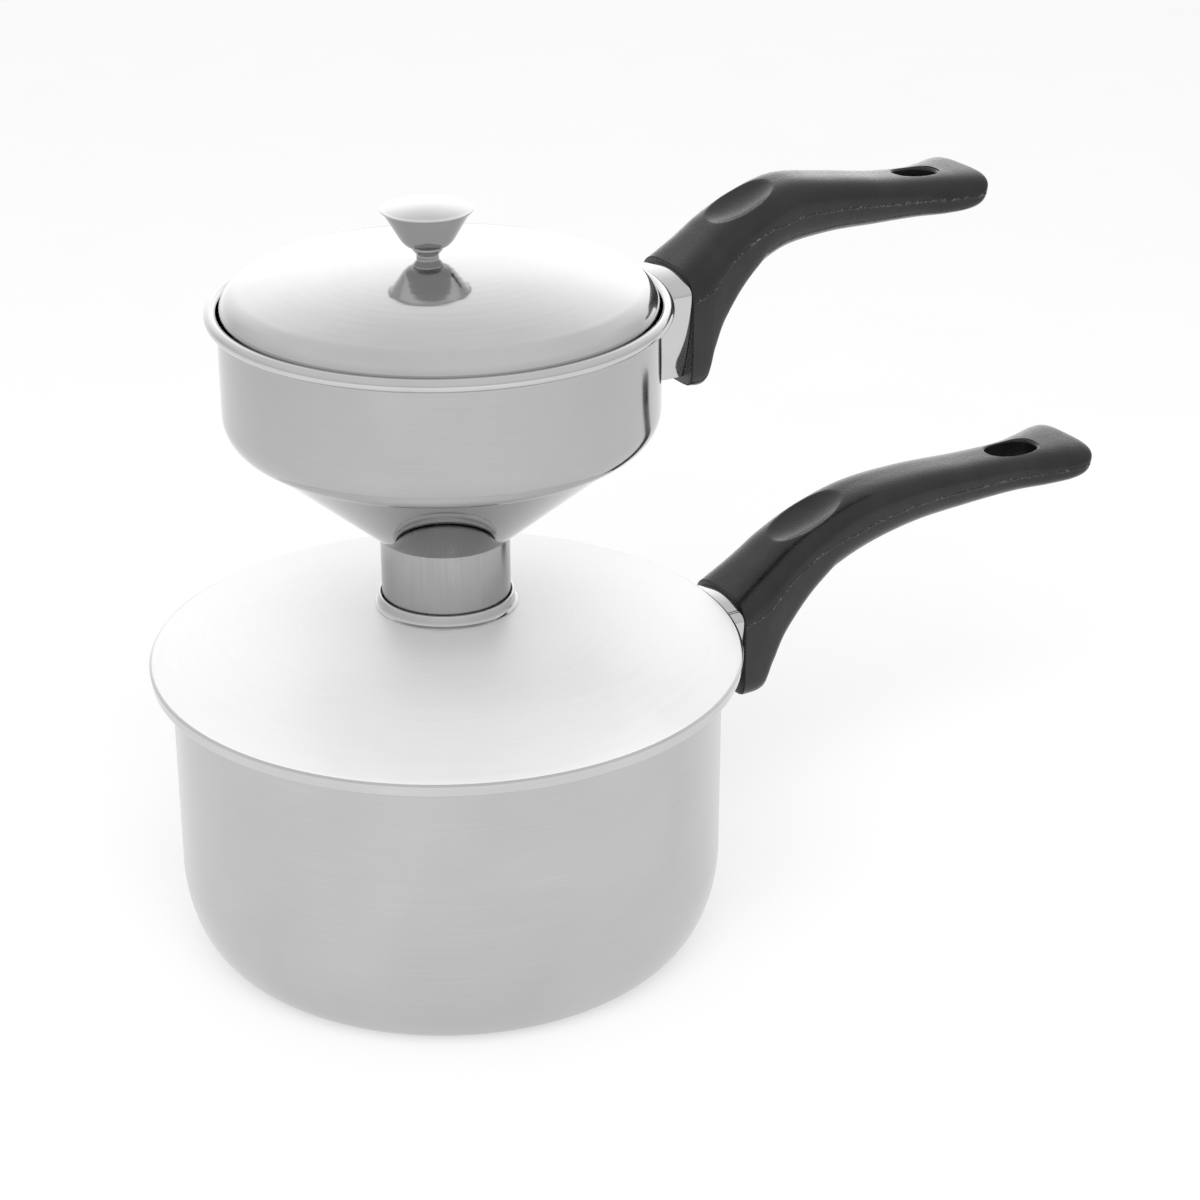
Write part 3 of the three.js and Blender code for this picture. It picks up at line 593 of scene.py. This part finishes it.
def knobCapOutline():
    bottom = knob["seat"] + knob["footHeight"] + knob["cupHeight"]
    radius, rim = knob["capRadius"], knob["capRim"]
    widest, shoulder = bottom + rim / 2, bottom + rim
    peak = shoulder + knob["capCrown"]
    edge = (bezier(((radius - rim / 2, bottom), (radius, bottom), (radius, widest)), count=6)
            + bezier(((radius, widest), (radius, shoulder), (radius - rim, shoulder)), count=6))
    crown = bezier(((radius - rim, shoulder), (radius / 2, peak), (0, peak)), count=12)
    return [(0, bottom)] + edge + crown


for name, outline, node in (("knobFoot", knobFootOutline(), "knob_foot"),
                            ("knobCup", knobCupOutline(), "knob_cup"),
                            ("knobCap", knobCapOutline(), "knob_cap")):
    piece = turned(name, outline, [mirrorSteel], steps=96, soft=0.25, place=knobPlace)
    settle(piece, "top_lid", node)
print("top lid and knob turned")


def carve(piece, cutters):
    for cutter in cutters:
        modifier = piece.modifiers.new("carve", "BOOLEAN")
        modifier.operation = "DIFFERENCE"
        modifier.solver = "EXACT"
        modifier.object = cutter
    evaluated = piece.evaluated_get(bpy.context.evaluated_depsgraph_get())
    carved = bpy.data.meshes.new_from_object(evaluated)
    piece.modifiers.clear()
    piece.data = carved
    for cutter in cutters:
        bpy.data.objects.remove(cutter)


sharpEdge = 50  # degrees between two faces from which an edge counts as sharp


def deburr(piece, width, segments):
    edge = piece.modifiers.new("deburredEdge", "BEVEL")
    edge.width = width * mm
    edge.segments = segments
    edge.limit_method = "ANGLE"
    edge.angle_limit = math.radians(sharpEdge)
    return edge


# Handles, each in the frame of its root: x = 0 on the root face, z = 0 on the root's top edge
panHandle = {"body": "saucepan", "prefix": "pan", "rootX": 107.7, "rootTop": 98.5, "length": 153.5,
             "crest": 28, "droop": 0, "foot": 36}
steamerHandle = {"body": "steamer", "prefix": "steamer", "rootX": 84, "rootTop": 221.5, "length": 121,
                 "crest": 23, "droop": 7, "foot": 39}
# Ribs from root to tail: share of the length, share of the crest, how far the underside trails, depth from
# top to underside (None stands on the flat foot) and half width
ribs = [
    (0, 0, 0, None, 17),
    (0.065, 0.24, 1.2, None, 16.3),
    (0.1, 0.37, 2.4, 39, 15.7),
    (0.15, 0.555, 3.6, 33, 14.8),
    (0.247, 0.81, 5.5, 27.5, 13.6),
    (0.372, 1, 6, 23.5, 12.6),
    (0.522, 1.05, 5, 19, 11.6),
    (0.692, 1.02, 5, 16, 11),
    (0.82, 1.01, 4.5, 14.6, 11.8),
    (0.9, 1.02, 4, 14.4, 14.8),
    (0.955, 1.035, 3.5, 13.8, 17.2),
    (0.985, 1.035, 3, 12.2, 17),
    (1, 1, 3, 8.8, 13.5),
]
# Squareness of the sections (2 is an ellipse), fineness of the mesh, rounding of both ends in mm and the
# least share of a section that a rounding leaves
grip = {"crestAt": 0.372, "rootArch": 3.9, "archTo": 0.13, "gripTop": 3.3, "foot": 9, "footTo": 0.3,
        "gripUnder": 2.6, "rings": 260, "over": 76, "under": 44, "trace": 160, "rootEdge": 0.7,
        "tailEdge": 1.4, "tailSpare": 0.3, "least": 0.01}
# Where the mould's halves met: degrees that the line climbs at the root, gone by a share of the length, mm
# that the scraped flash stands proud and wanders by, the shares of the length that it runs between, rate and
# start of the waves that it wanders in, and the mm beside the line at which the mesh has rows
partingLine = {"climb": 15, "climbTo": 0.33, "ridge": 0.2, "wander": 0.07, "from": 0.01, "to": 0.985,
               "waves": ((41, 0), (97, 2)), "rows": (0, 0.3, 0.6, 0.9)}
# Pressed by a stretched ball that reaches a few depths below the top
thumbDent = {"along": 0.228, "length": 0.24, "width": 21.5, "depth": 3, "radius": 7, "reach": 3, "rim": 0.25}
hangHole = {"along": 0.824, "toRoot": 0.072, "toTail": 0.06, "half": 0.044, "lip": 1.2, "squareness": 2.4,
            "above": 14, "steps": 64}
screwHole = {"drop": 25, "boss": 5.3, "bossDepth": 4.3, "shank": 2.8, "seat": 7.5, "head": 5.2,
             "before": 1, "to": 0.25}  # mm before the root face, share of the handle's length


def spline(points, place):
    span = place * (len(points) - 1)
    i = min(int(span), len(points) - 2)
    t = span - i
    before, start, end, after = [Vector(points[min(max(i + k, 0), len(points) - 1)]) for k in (-1, 0, 1, 2)]
    leave, arrive = (end - before) / 2, (after - start) / 2
    return ((2 * start - 2 * end + leave + arrive) * t ** 3
            + (3 * end - 3 * start - 2 * leave - arrive) * t ** 2 + leave * t + start)


def gripLines(spec):
    tops, unders, halves = [], [], []
    for along, rise, lean, depth, half in ribs:
        past = max(0, along - grip["crestAt"]) / (1 - grip["crestAt"])
        x, z = along * spec["length"], rise * spec["crest"] - spec["droop"] * past * (2 - past)
        tops.append((x, z))
        unders.append((x - lean, z - depth if depth else -spec["foot"]))
        halves.append((along, half))
    return tops, unders, halves


def ribPlace(along):
    shares = [rib[0] for rib in ribs]
    after = next(i for i, share in enumerate(shares) if share > along)
    inside = (along - shares[after - 1]) / (shares[after] - shares[after - 1])
    return (after - 1 + inside) / (len(ribs) - 1)


# Frame on the grip's top line: x along the grip, z out of its top
def onTop(lines, along):
    place = ribPlace(along)
    here = spline(lines[0], place)
    step = 1e-3
    way = spline(lines[0], place + step) - spline(lines[0], place - step)
    turn = Matrix.Rotation(-math.atan2(way.y, way.x), 4, "Y")
    return Matrix.Translation((here.x, 0, here.y)) @ turn


# Picks points off a fine line, close together at both its ends and evenly spaced between
def spaced(line, count):
    walked = [0.0]
    for here, ahead in zip(line, line[1:]):
        walked.append(walked[-1] + (ahead - here).length)
    rows, whole = partingLine["rows"], walked[-1]
    between = count - 2 * len(rows) + 2
    marks = list(rows) + [rows[-1] + (whole - 2 * rows[-1]) * k / between for k in range(1, between)]
    marks += [whole - row for row in reversed(rows[1:])]
    picked, i = [], 0
    for mark in marks:
        while walked[i + 1] < mark:
            i += 1
        share = (mark - walked[i]) / (walked[i + 1] - walked[i])
        scar = max(0, 1 - min(mark, whole - mark) / rows[-1])
        picked.append((line[i].lerp(line[i + 1], share), scar))
    return picked


# One section of the grip: over the top from parting line to parting line, then back underneath
def section(lines, place, shrink):
    top, under, (along, half) = [spline(line, place) for line in lines]
    upper = grip["gripTop"] + (grip["rootArch"] - grip["gripTop"]) * max(0, 1 - along / grip["archTo"])
    lower = grip["gripUnder"] + (grip["foot"] - grip["gripUnder"]) * max(0, 1 - along / grip["footTo"])
    middle, reach = (top + under) / 2, (top - under) / 2
    tall, wide = [max(grip["least"], 1 - shrink / size) for size in (reach.length, half)]

    def spot(angle):
        power = 2 / (upper if math.sin(angle) > 0 else lower)
        up = math.copysign(abs(math.sin(angle)) ** power, math.sin(angle))
        side = math.copysign(abs(math.cos(angle)) ** power, math.cos(angle))
        at = middle + reach * (up * tall)
        return Vector((at.x, side * half * wide, at.y))

    climb = math.radians(partingLine["climb"]) * max(0, 1 - along / partingLine["climbTo"])
    right, left = climb, math.pi - climb
    steps = grip["trace"]
    over = [spot(right + (left - right) * k / steps) for k in range(steps + 1)]
    below = [spot(left + (2 * math.pi + right - left) * k / steps) for k in range(steps + 1)]
    return spaced(over, grip["over"]) + spaced(below, grip["under"]), along


# Presses the dent: a point inside the pressing ball goes down to the ball, with a small rolled rim
def pressDent(spec, lines):
    radius, depth = thumbDent["radius"], thumbDent["depth"]
    pressed = math.sqrt(radius ** 2 - (radius - depth) ** 2)
    longer = thumbDent["length"] * spec["length"] / 2 / pressed
    wider = thumbDent["width"] / 2 / pressed
    seat = onTop(lines, thumbDent["along"])
    unseat = seat.inverted()

    def press(point):
        local = unseat @ point
        inside = radius ** 2 - (local.x / longer) ** 2 - (local.y / wider) ** 2
        if inside <= 0 or local.z < -thumbDent["reach"] * depth:
            return point
        floor = radius - depth - math.sqrt(inside)
        rim = thumbDent["rim"]
        over = max(rim - abs(local.z - floor), 0) / rim
        local.z = min(local.z, floor) - over * over * rim / 4
        return seat @ local

    return press


def gripMesh(spec, lines):
    bm = bmesh.new()
    layer = bm.loops.layers.uv.new("scar")
    press = pressDent(spec, lines)
    edge, tail, count = grip["rootEdge"], grip["tailEdge"], grip["rings"]
    # a quarter turn round the edge of the root face, the loft, and a quarter turn round the tail
    turns = [math.pi / 8 * t for t in range(5)]
    stations = [(0, edge * (1 - math.sin(t)), edge * (1 - math.cos(t))) for t in turns[:4]]
    stations += [(i / count, 0, 0) for i in range(1, count)
                 if spline(lines[0], i / count).x < spec["length"] - tail - grip["tailSpare"]]
    stations += [(1, tail * (1 - math.cos(t)), -tail * (1 - math.sin(t))) for t in turns]
    rings, scars = [], []
    for place, shrink, forward in stations:
        ring, (points, along) = [], section(lines, place, shrink)
        wave = sum(math.sin(rate * along + start) for rate, start in partingLine["waves"])
        flash = partingLine["from"] < along < partingLine["to"]
        proud = partingLine["ridge"] + partingLine["wander"] * wave if flash else 0
        for point, scar in points:
            point.x += forward
            point.y += math.copysign(proud * max(0, 3 * scar - 2), point.y)  # the middle row alone
            ring.append(bm.verts.new(press(point)))
        rings.append(ring)
        scars.append([(along, scar) for _, scar in points])
    around = len(rings[0])
    for i in range(len(rings) - 1):
        for j in range(around):
            k = (j + 1) % around
            face = bm.faces.new((rings[i][j], rings[i][k], rings[i + 1][k], rings[i + 1][j]))
            marks = (scars[i][j], scars[i][k], scars[i + 1][k], scars[i + 1][j])
            for loop, mark in zip(face.loops, marks):
                loop[layer].uv = mark
    for ring in (rings[0], rings[-1]):
        middle = bm.verts.new(sum((v.co for v in ring), Vector()) / around)
        for j in range(around):
            bm.faces.new((middle, ring[j], ring[(j + 1) % around]))
    return bm


# Egg-shaped cutter whose ends flare, so that both mouths of the hole get a rolled lip
def holeCutter(spec, lines):
    place = ribPlace(hangHole["along"])
    thick = (spline(lines[0], place) - spline(lines[1], place)).y
    lip, steps = hangHole["lip"], hangHole["steps"]
    depths = [(hangHole["above"], lip), (0, lip)]
    depths += [(-lip * (1 - math.cos(math.radians(a))), lip * (1 - math.sin(math.radians(a))))
               for a in range(15, 91, 15)]
    below = [(-thick - z, flare) for z, flare in reversed(depths)]
    bm = bmesh.new()
    rings = []
    for z, flare in depths + below:
        ring = []
        for k in range(steps):
            a = 2 * math.pi * k / steps
            along, across = [math.copysign(abs(c) ** (2 / hangHole["squareness"]), c)
                             for c in (math.cos(a), math.sin(a))]
            long = hangHole["toTail" if along > 0 else "toRoot"] * spec["length"] + flare
            wide = hangHole["half"] * spec["length"] + flare
            ring.append(bm.verts.new((long * along, wide * across, z)))
        rings.append(ring)
    for low, high in zip(rings, rings[1:]):
        for k in range(steps):
            after = (k + 1) % steps
            bm.faces.new((low[k], low[after], high[after], high[k]))
    bm.faces.new(rings[0])
    bm.faces.new(rings[-1])
    root = Matrix.Translation((spec["rootX"], 0, spec["rootTop"]))
    place = Matrix.Scale(mm, 4) @ root @ onTop(lines, hangHole["along"])
    bmesh.ops.transform(bm, matrix=place, verts=bm.verts)
    return meshObject("holeCutter", bm, [])


def boreCutter(spec):
    boss, bossDepth, shank = screwHole["boss"], screwHole["bossDepth"], screwHole["shank"]
    seat, head = screwHole["seat"], screwHole["head"]
    near, far = -screwHole["before"], screwHole["to"] * spec["length"]
    outline = [(0, near), (boss, near), (boss, bossDepth), (shank, bossDepth), (shank, seat), (head, seat),
               (head, far), (0, far)]
    place = (Matrix.Translation((spec["rootX"], 0, spec["rootTop"] - screwHole["drop"]))
             @ Matrix.Rotation(math.pi / 2, 4, "Y"))
    return turned("boreCutter", outline, [], steps=40, soft=0.1, place=place)


def makeHandle(spec):
    lines = gripLines(spec)
    bm = gripMesh(spec, lines)
    root = Matrix.Translation((spec["rootX"], 0, spec["rootTop"]))
    bmesh.ops.transform(bm, matrix=Matrix.Scale(mm, 4) @ root, verts=bm.verts)
    handle = meshObject(spec["prefix"] + "Handle", bm, [blackPhenolic])
    carve(handle, [holeCutter(spec, lines), boreCutter(spec)])
    handle.data.set_sharp_from_angle(angle=math.radians(sharpEdge))
    settle(handle, spec["body"], spec["prefix"] + "_handle")


# Flame guard: an arch of bent sheet between wall and handle, its inner edge cut to the vessel's shape
flameGuard = {"inset": 1, "half": 16, "crown": 6, "crownSteps": 32, "footHalf": 10.5, "aboveFoot": 2.5,
              "rootGap": 0.1, "across": 12, "deburr": 0.2}


def guardArch(spec, thinner):
    half, crown = flameGuard["half"] - thinner, flameGuard["crown"] - thinner
    spring = -flameGuard["inset"] - flameGuard["crown"]
    foot = flameGuard["aboveFoot"] - spec["foot"]
    bend = (foot + spring) / 2
    side = bezier(((-flameGuard["footHalf"] + thinner, foot), (-half, bend), (-half, spring)), count=16)
    steps = flameGuard["crownSteps"]
    angles = [math.pi - math.pi * k / steps for k in range(1, steps)]
    top = [(half * math.cos(a), spring + crown * math.sin(a)) for a in angles]
    return side + top + [(-y, z) for y, z in reversed(side)]


# Radius of what the guard has to clear at a height: wall, flare, curl and, over a capping lid, its edge
def clearRadius(vessel, lidEdge, lidBottom, z):
    flareStart = vessel["height"] - curlForm["flare"] * vessel["bead"]
    curlBottom = vessel["height"] - 2 * vessel["bead"]
    if z > lidBottom:
        return lidEdge
    if z > curlBottom:
        return vessel["rimRadius"]
    share = max(0, (z - flareStart) / (curlBottom - flareStart))
    return vessel["wallRadius"] + share * (vessel["rimRadius"] - vessel["wallRadius"])


def makeGuard(spec, vessel, lidEdge, lidBottom):
    bm = bmesh.new()
    skins, across = [], flameGuard["across"]
    for thinner in (0, sheet):
        skin = []
        for y, z in guardArch(spec, thinner):
            clear = clearRadius(vessel, lidEdge, lidBottom, spec["rootTop"] + z)
            near, far = math.sqrt(clear ** 2 - y * y), spec["rootX"] - flameGuard["rootGap"]
            row = [near + (far - near) * k / across for k in range(across + 1)]
            skin.append([bm.verts.new((x * mm, y * mm, (spec["rootTop"] + z) * mm)) for x in row])
        skins.append(skin)
    outer, inner = skins
    last = len(outer) - 1
    for i in range(last):
        for skin in skins:
            for a in range(across):
                bm.faces.new((skin[i][a], skin[i + 1][a], skin[i + 1][a + 1], skin[i][a + 1]))
        for a in (0, -1):
            bm.faces.new((outer[i][a], outer[i + 1][a], inner[i + 1][a], inner[i][a]))
    for i in (0, last):
        for a in range(across):
            bm.faces.new((outer[i][a], outer[i][a + 1], inner[i][a + 1], inner[i][a]))
    guard = meshObject(spec["prefix"] + "FlameGuard", bm, [mirrorSteel])
    deburr(guard, flameGuard["deburr"], segments=3).harden_normals = True
    settle(guard, spec["body"], spec["prefix"] + "_flame_guard")


# Screws with a domed head and a cross recess
handleScrew = {"radius": 2.5, "headRadius": 4.2, "headHeight": 2.8, "reach": 16}
knobScrew = {"radius": 1.9, "headRadius": 3.6, "headHeight": 2, "reach": 3.6}
screwForm = {"crown": 0.9, "brim": 0.35, "pitch": 0.8, "threadDepth": 0.35, "plain": 0.6, "sharp": 35}
# Shares of the head's radius and of its height, and how far the wings run together at the bottom
crossRecess = {"width": 0.32, "length": 1.25, "depth": 0.55, "taper": 0.55}


def makeScrew(name, screw, place, body, node):
    radius, head, tall, reach = screw["radius"], screw["headRadius"], screw["headHeight"], screw["reach"]
    pitch, plain = screwForm["pitch"], screwForm["plain"]
    brim = -screwForm["brim"] * tall
    crown = bezier(((0, -tall), (screwForm["crown"] * head, -tall), (head, brim)), count=10)
    outline = crown + [(head, 0), (radius, 0)]
    for k in range(int((reach - 2 * plain) / pitch)):
        low = plain + k * pitch
        outline += [(radius, low), (radius - screwForm["threadDepth"], low + pitch / 2)]
    outline += [(radius, reach - plain), (radius - plain, reach), (0, reach)]
    piece = turned(name, outline, [zincSteel], steps=48, soft=0.15, place=place)
    cutters = []
    for turn in (0, math.pi / 2):
        bm = bmesh.new()
        bmesh.ops.create_cube(bm, size=1)
        size = (crossRecess["length"] * head, crossRecess["width"] * head, 2 * crossRecess["depth"] * tall)
        bmesh.ops.scale(bm, vec=size, verts=bm.verts)
        for vert in bm.verts:
            if vert.co.z > 0:
                vert.co.xy *= crossRecess["taper"]
        seat = place @ Matrix.Translation((0, 0, -tall)) @ Matrix.Rotation(turn, 4, "Z")
        bmesh.ops.transform(bm, matrix=Matrix.Scale(mm, 4) @ seat, verts=bm.verts)
        cutters.append(meshObject("recessCutter", bm, []))
    carve(piece, cutters)
    piece.data.set_sharp_from_angle(angle=math.radians(screwForm["sharp"]))
    settle(piece, body, node)


screwSeat = 8.9  # mm from the root face to the underside of the head
lidGap = 0.6  # mm from the saucepan's guard to the lid that caps its rim; no lid reaches over the bowl's rim
for spec, vessel, lidEdge, lidBottom in (
        (panHandle, pan, panLid["edgeRadius"] + lidGap, panLid["edgeBottom"] - lidGap),
        (steamerHandle, bowl, bowl["rimRadius"], math.inf)):
    makeHandle(spec)
    makeGuard(spec, vessel, lidEdge, lidBottom)
    seat = Matrix.Translation((spec["rootX"] + screwSeat, 0, spec["rootTop"] - screwHole["drop"]))
    makeScrew(spec["prefix"] + "HandleScrew", handleScrew, seat @ Matrix.Rotation(-math.pi / 2, 4, "Y"),
              spec["body"], spec["prefix"] + "_handle_screw")
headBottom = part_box("knob_screw")[0].z / mm
knobSeat = Matrix.Translation((knob["x"], knob["y"], headBottom + knobScrew["headHeight"]))
makeScrew("knobScrew", knobScrew, knobSeat, "top_lid", "knob_screw")
print("handles, guards and screws made")

# Pieces that keep their solids: brackets and washers, with deburred edges
for nodes, material, width in (
        (("pan_bracket", "steamer_bracket"), wallSteel, 0.5),
        (("pan_handle_washer", "steamer_handle_washer", "knob_washer"), zincSteel, 0.12)):
    for node in nodes:
        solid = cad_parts[node]
        solid.data.materials.clear()
        solid.data.materials.append(material)
        deburr(solid, width, segments=2)

# Studio: an opal table lit from below and a white surround that is brightest low behind the object
studio = {
    "tableRadius": 1550,
    "tableColour": "#a0a0a0",
    "tableCloud": 60,  # mm
    "cloudLift": 1.02,
    "tableRoughness": 0.8,
    "tableShine": 0.1,
    "tableGlow": 0.58,
    # elevation in degrees and brightness, in the strip behind the object and everywhere else
    "strip": ((-90, 1.6), (13, 1.6), (20, 1.54), (26, 1.38), (34, 1.14), (42, 0.95), (50, 0.88), (90, 0.86)),
    "room": ((-90, 0.66), (0, 0.74), (30, 0.86), (90, 0.86)),
    "stripEdges": (0.2, 0.8),  # sideways share of a direction at which the strip starts to fade and has gone
    "stripDepth": (-0.3, 0.4),  # share of it away from the camera at which the strip starts and is full
    "backdrop": 1.0,  # what the camera itself sees past the table
}
frontLamp = {"power": 15, "sides": (1200, 900), "away": 1400, "rise": 50, "aimedAt": 120}


def opalTable():
    material, tree, shader = newMaterial("opal_acrylic", 0.0)
    coords = addNode(tree, "ShaderNodeTexCoord").outputs["Object"]
    cloud = addNode(tree, "ShaderNodeTexNoise", None,
                    {"Scale": 1 / (studio["tableCloud"] * mm), "Detail": 2.0},
                    {"Vector": coords}).outputs["Fac"]
    base = linear(studio["tableColour"])
    paler = [c * studio["cloudLift"] for c in base[:3]] + [1.0]
    tint = addNode(tree, "ShaderNodeValToRGB", links={"Fac": cloud},
                   stops=[(noiseLow, base), (noiseHigh, paler)])
    tree.links.new(tint.outputs["Color"], shader.inputs["Base Color"])
    shader.inputs["Roughness"].default_value = studio["tableRoughness"]
    shader.inputs["Specular IOR Level"].default_value = studio["tableShine"]
    shader.inputs["Emission Color"].default_value = linear("#ffffff")
    shader.inputs["Emission Strength"].default_value = studio["tableGlow"]
    return material


def makeTable():
    bm = bmesh.new()
    bmesh.ops.create_circle(bm, cap_ends=True, segments=128, radius=studio["tableRadius"] * mm)
    meshObject("opalTable", bm, [opalTable()])


def makeSurround():
    world = bpy.data.worlds.new("whiteSurround")
    bpy.context.scene.world = world
    world.use_nodes = True
    tree = world.node_tree
    tree.nodes.clear()
    way = addNode(tree, "ShaderNodeTexCoord").outputs["Generated"]
    height = addNode(tree, "ShaderNodeSeparateXYZ", links={0: way})
    share = addNode(tree, "ShaderNodeMapRange", None, {"From Min": -1.0, "From Max": 1.0},
                    {"Value": height.outputs["Z"]})
    sides = []
    for levels in (studio["room"], studio["strip"]):
        most = max(level for _, level in levels)
        stops = [((math.sin(math.radians(at)) + 1) / 2, [level / most] * 3 + [1.0]) for at, level in levels]
        tone = addNode(tree, "ShaderNodeValToRGB", links={"Fac": share.outputs[0]}, stops=stops)
        sides.append(addNode(tree, "ShaderNodeBackground", None, {"Strength": most},
                             {"Color": tone.outputs["Color"]}))
    ahead = Vector((math.cos(viewHeading), math.sin(viewHeading), 0))
    facing = addNode(tree, "ShaderNodeVectorMath", {"operation": "DOT_PRODUCT"}, {1: ahead}, {0: way})
    first, full = studio["stripDepth"]
    behind = addNode(tree, "ShaderNodeMapRange", {"interpolation_type": "SMOOTHSTEP"},
                     {"From Min": first, "From Max": full}, {"Value": facing.outputs["Value"]})
    sideways = addNode(tree, "ShaderNodeVectorMath", {"operation": "DOT_PRODUCT"},
                       {1: (ahead.y, -ahead.x, 0)}, {0: way})
    off = addNode(tree, "ShaderNodeMath", {"operation": "ABSOLUTE"}, links={0: sideways.outputs["Value"]})
    fades, gone = studio["stripEdges"]
    near = addNode(tree, "ShaderNodeMapRange", None,
                   {"From Min": fades, "From Max": gone, "To Min": 1.0, "To Max": 0.0},
                   {"Value": off.outputs[0]})
    strip = addNode(tree, "ShaderNodeMath", {"operation": "MULTIPLY"},
                    links={0: behind.outputs[0], 1: near.outputs[0]})
    studioLight = addNode(tree, "ShaderNodeMixShader", None, None,
                          {"Fac": strip.outputs[0], 1: sides[0].outputs[0], 2: sides[1].outputs[0]})
    plain = addNode(tree, "ShaderNodeBackground", None,
                    {"Color": linear("#ffffff"), "Strength": studio["backdrop"]})
    seen = addNode(tree, "ShaderNodeLightPath").outputs["Is Camera Ray"]
    mix = addNode(tree, "ShaderNodeMixShader", None, None,
                  {"Fac": seen, 1: studioLight.outputs[0], 2: plain.outputs[0]})
    addNode(tree, "ShaderNodeOutputWorld", links={"Surface": mix.outputs[0]})


# Big soft lamp above the camera. Mirrors don't show it: it only fills the skins that scatter
def makeLamp():
    data = bpy.data.lights.new("frontLamp", "AREA")
    data.shape = "RECTANGLE"
    data.energy = frontLamp["power"]
    data.size, data.size_y = [side * mm for side in frontLamp["sides"]]
    lamp = bpy.data.objects.new("frontLamp", data)
    turn = Matrix.Rotation(viewHeading - math.pi / 2, 4, "Z")
    tilt = Matrix.Rotation(math.pi / 2 - math.radians(frontLamp["rise"]), 4, "X")
    aim = Matrix.Translation((0, 0, frontLamp["aimedAt"] * mm))
    lamp.matrix_world = aim @ turn @ tilt @ Matrix.Translation((0, 0, frontLamp["away"] * mm))
    lamp.visible_glossy = False
    bpy.context.collection.objects.link(lamp)


makeTable()
makeSurround()
makeLamp()
bpy.context.scene.view_settings.view_transform = "Standard"
print("studio lit")
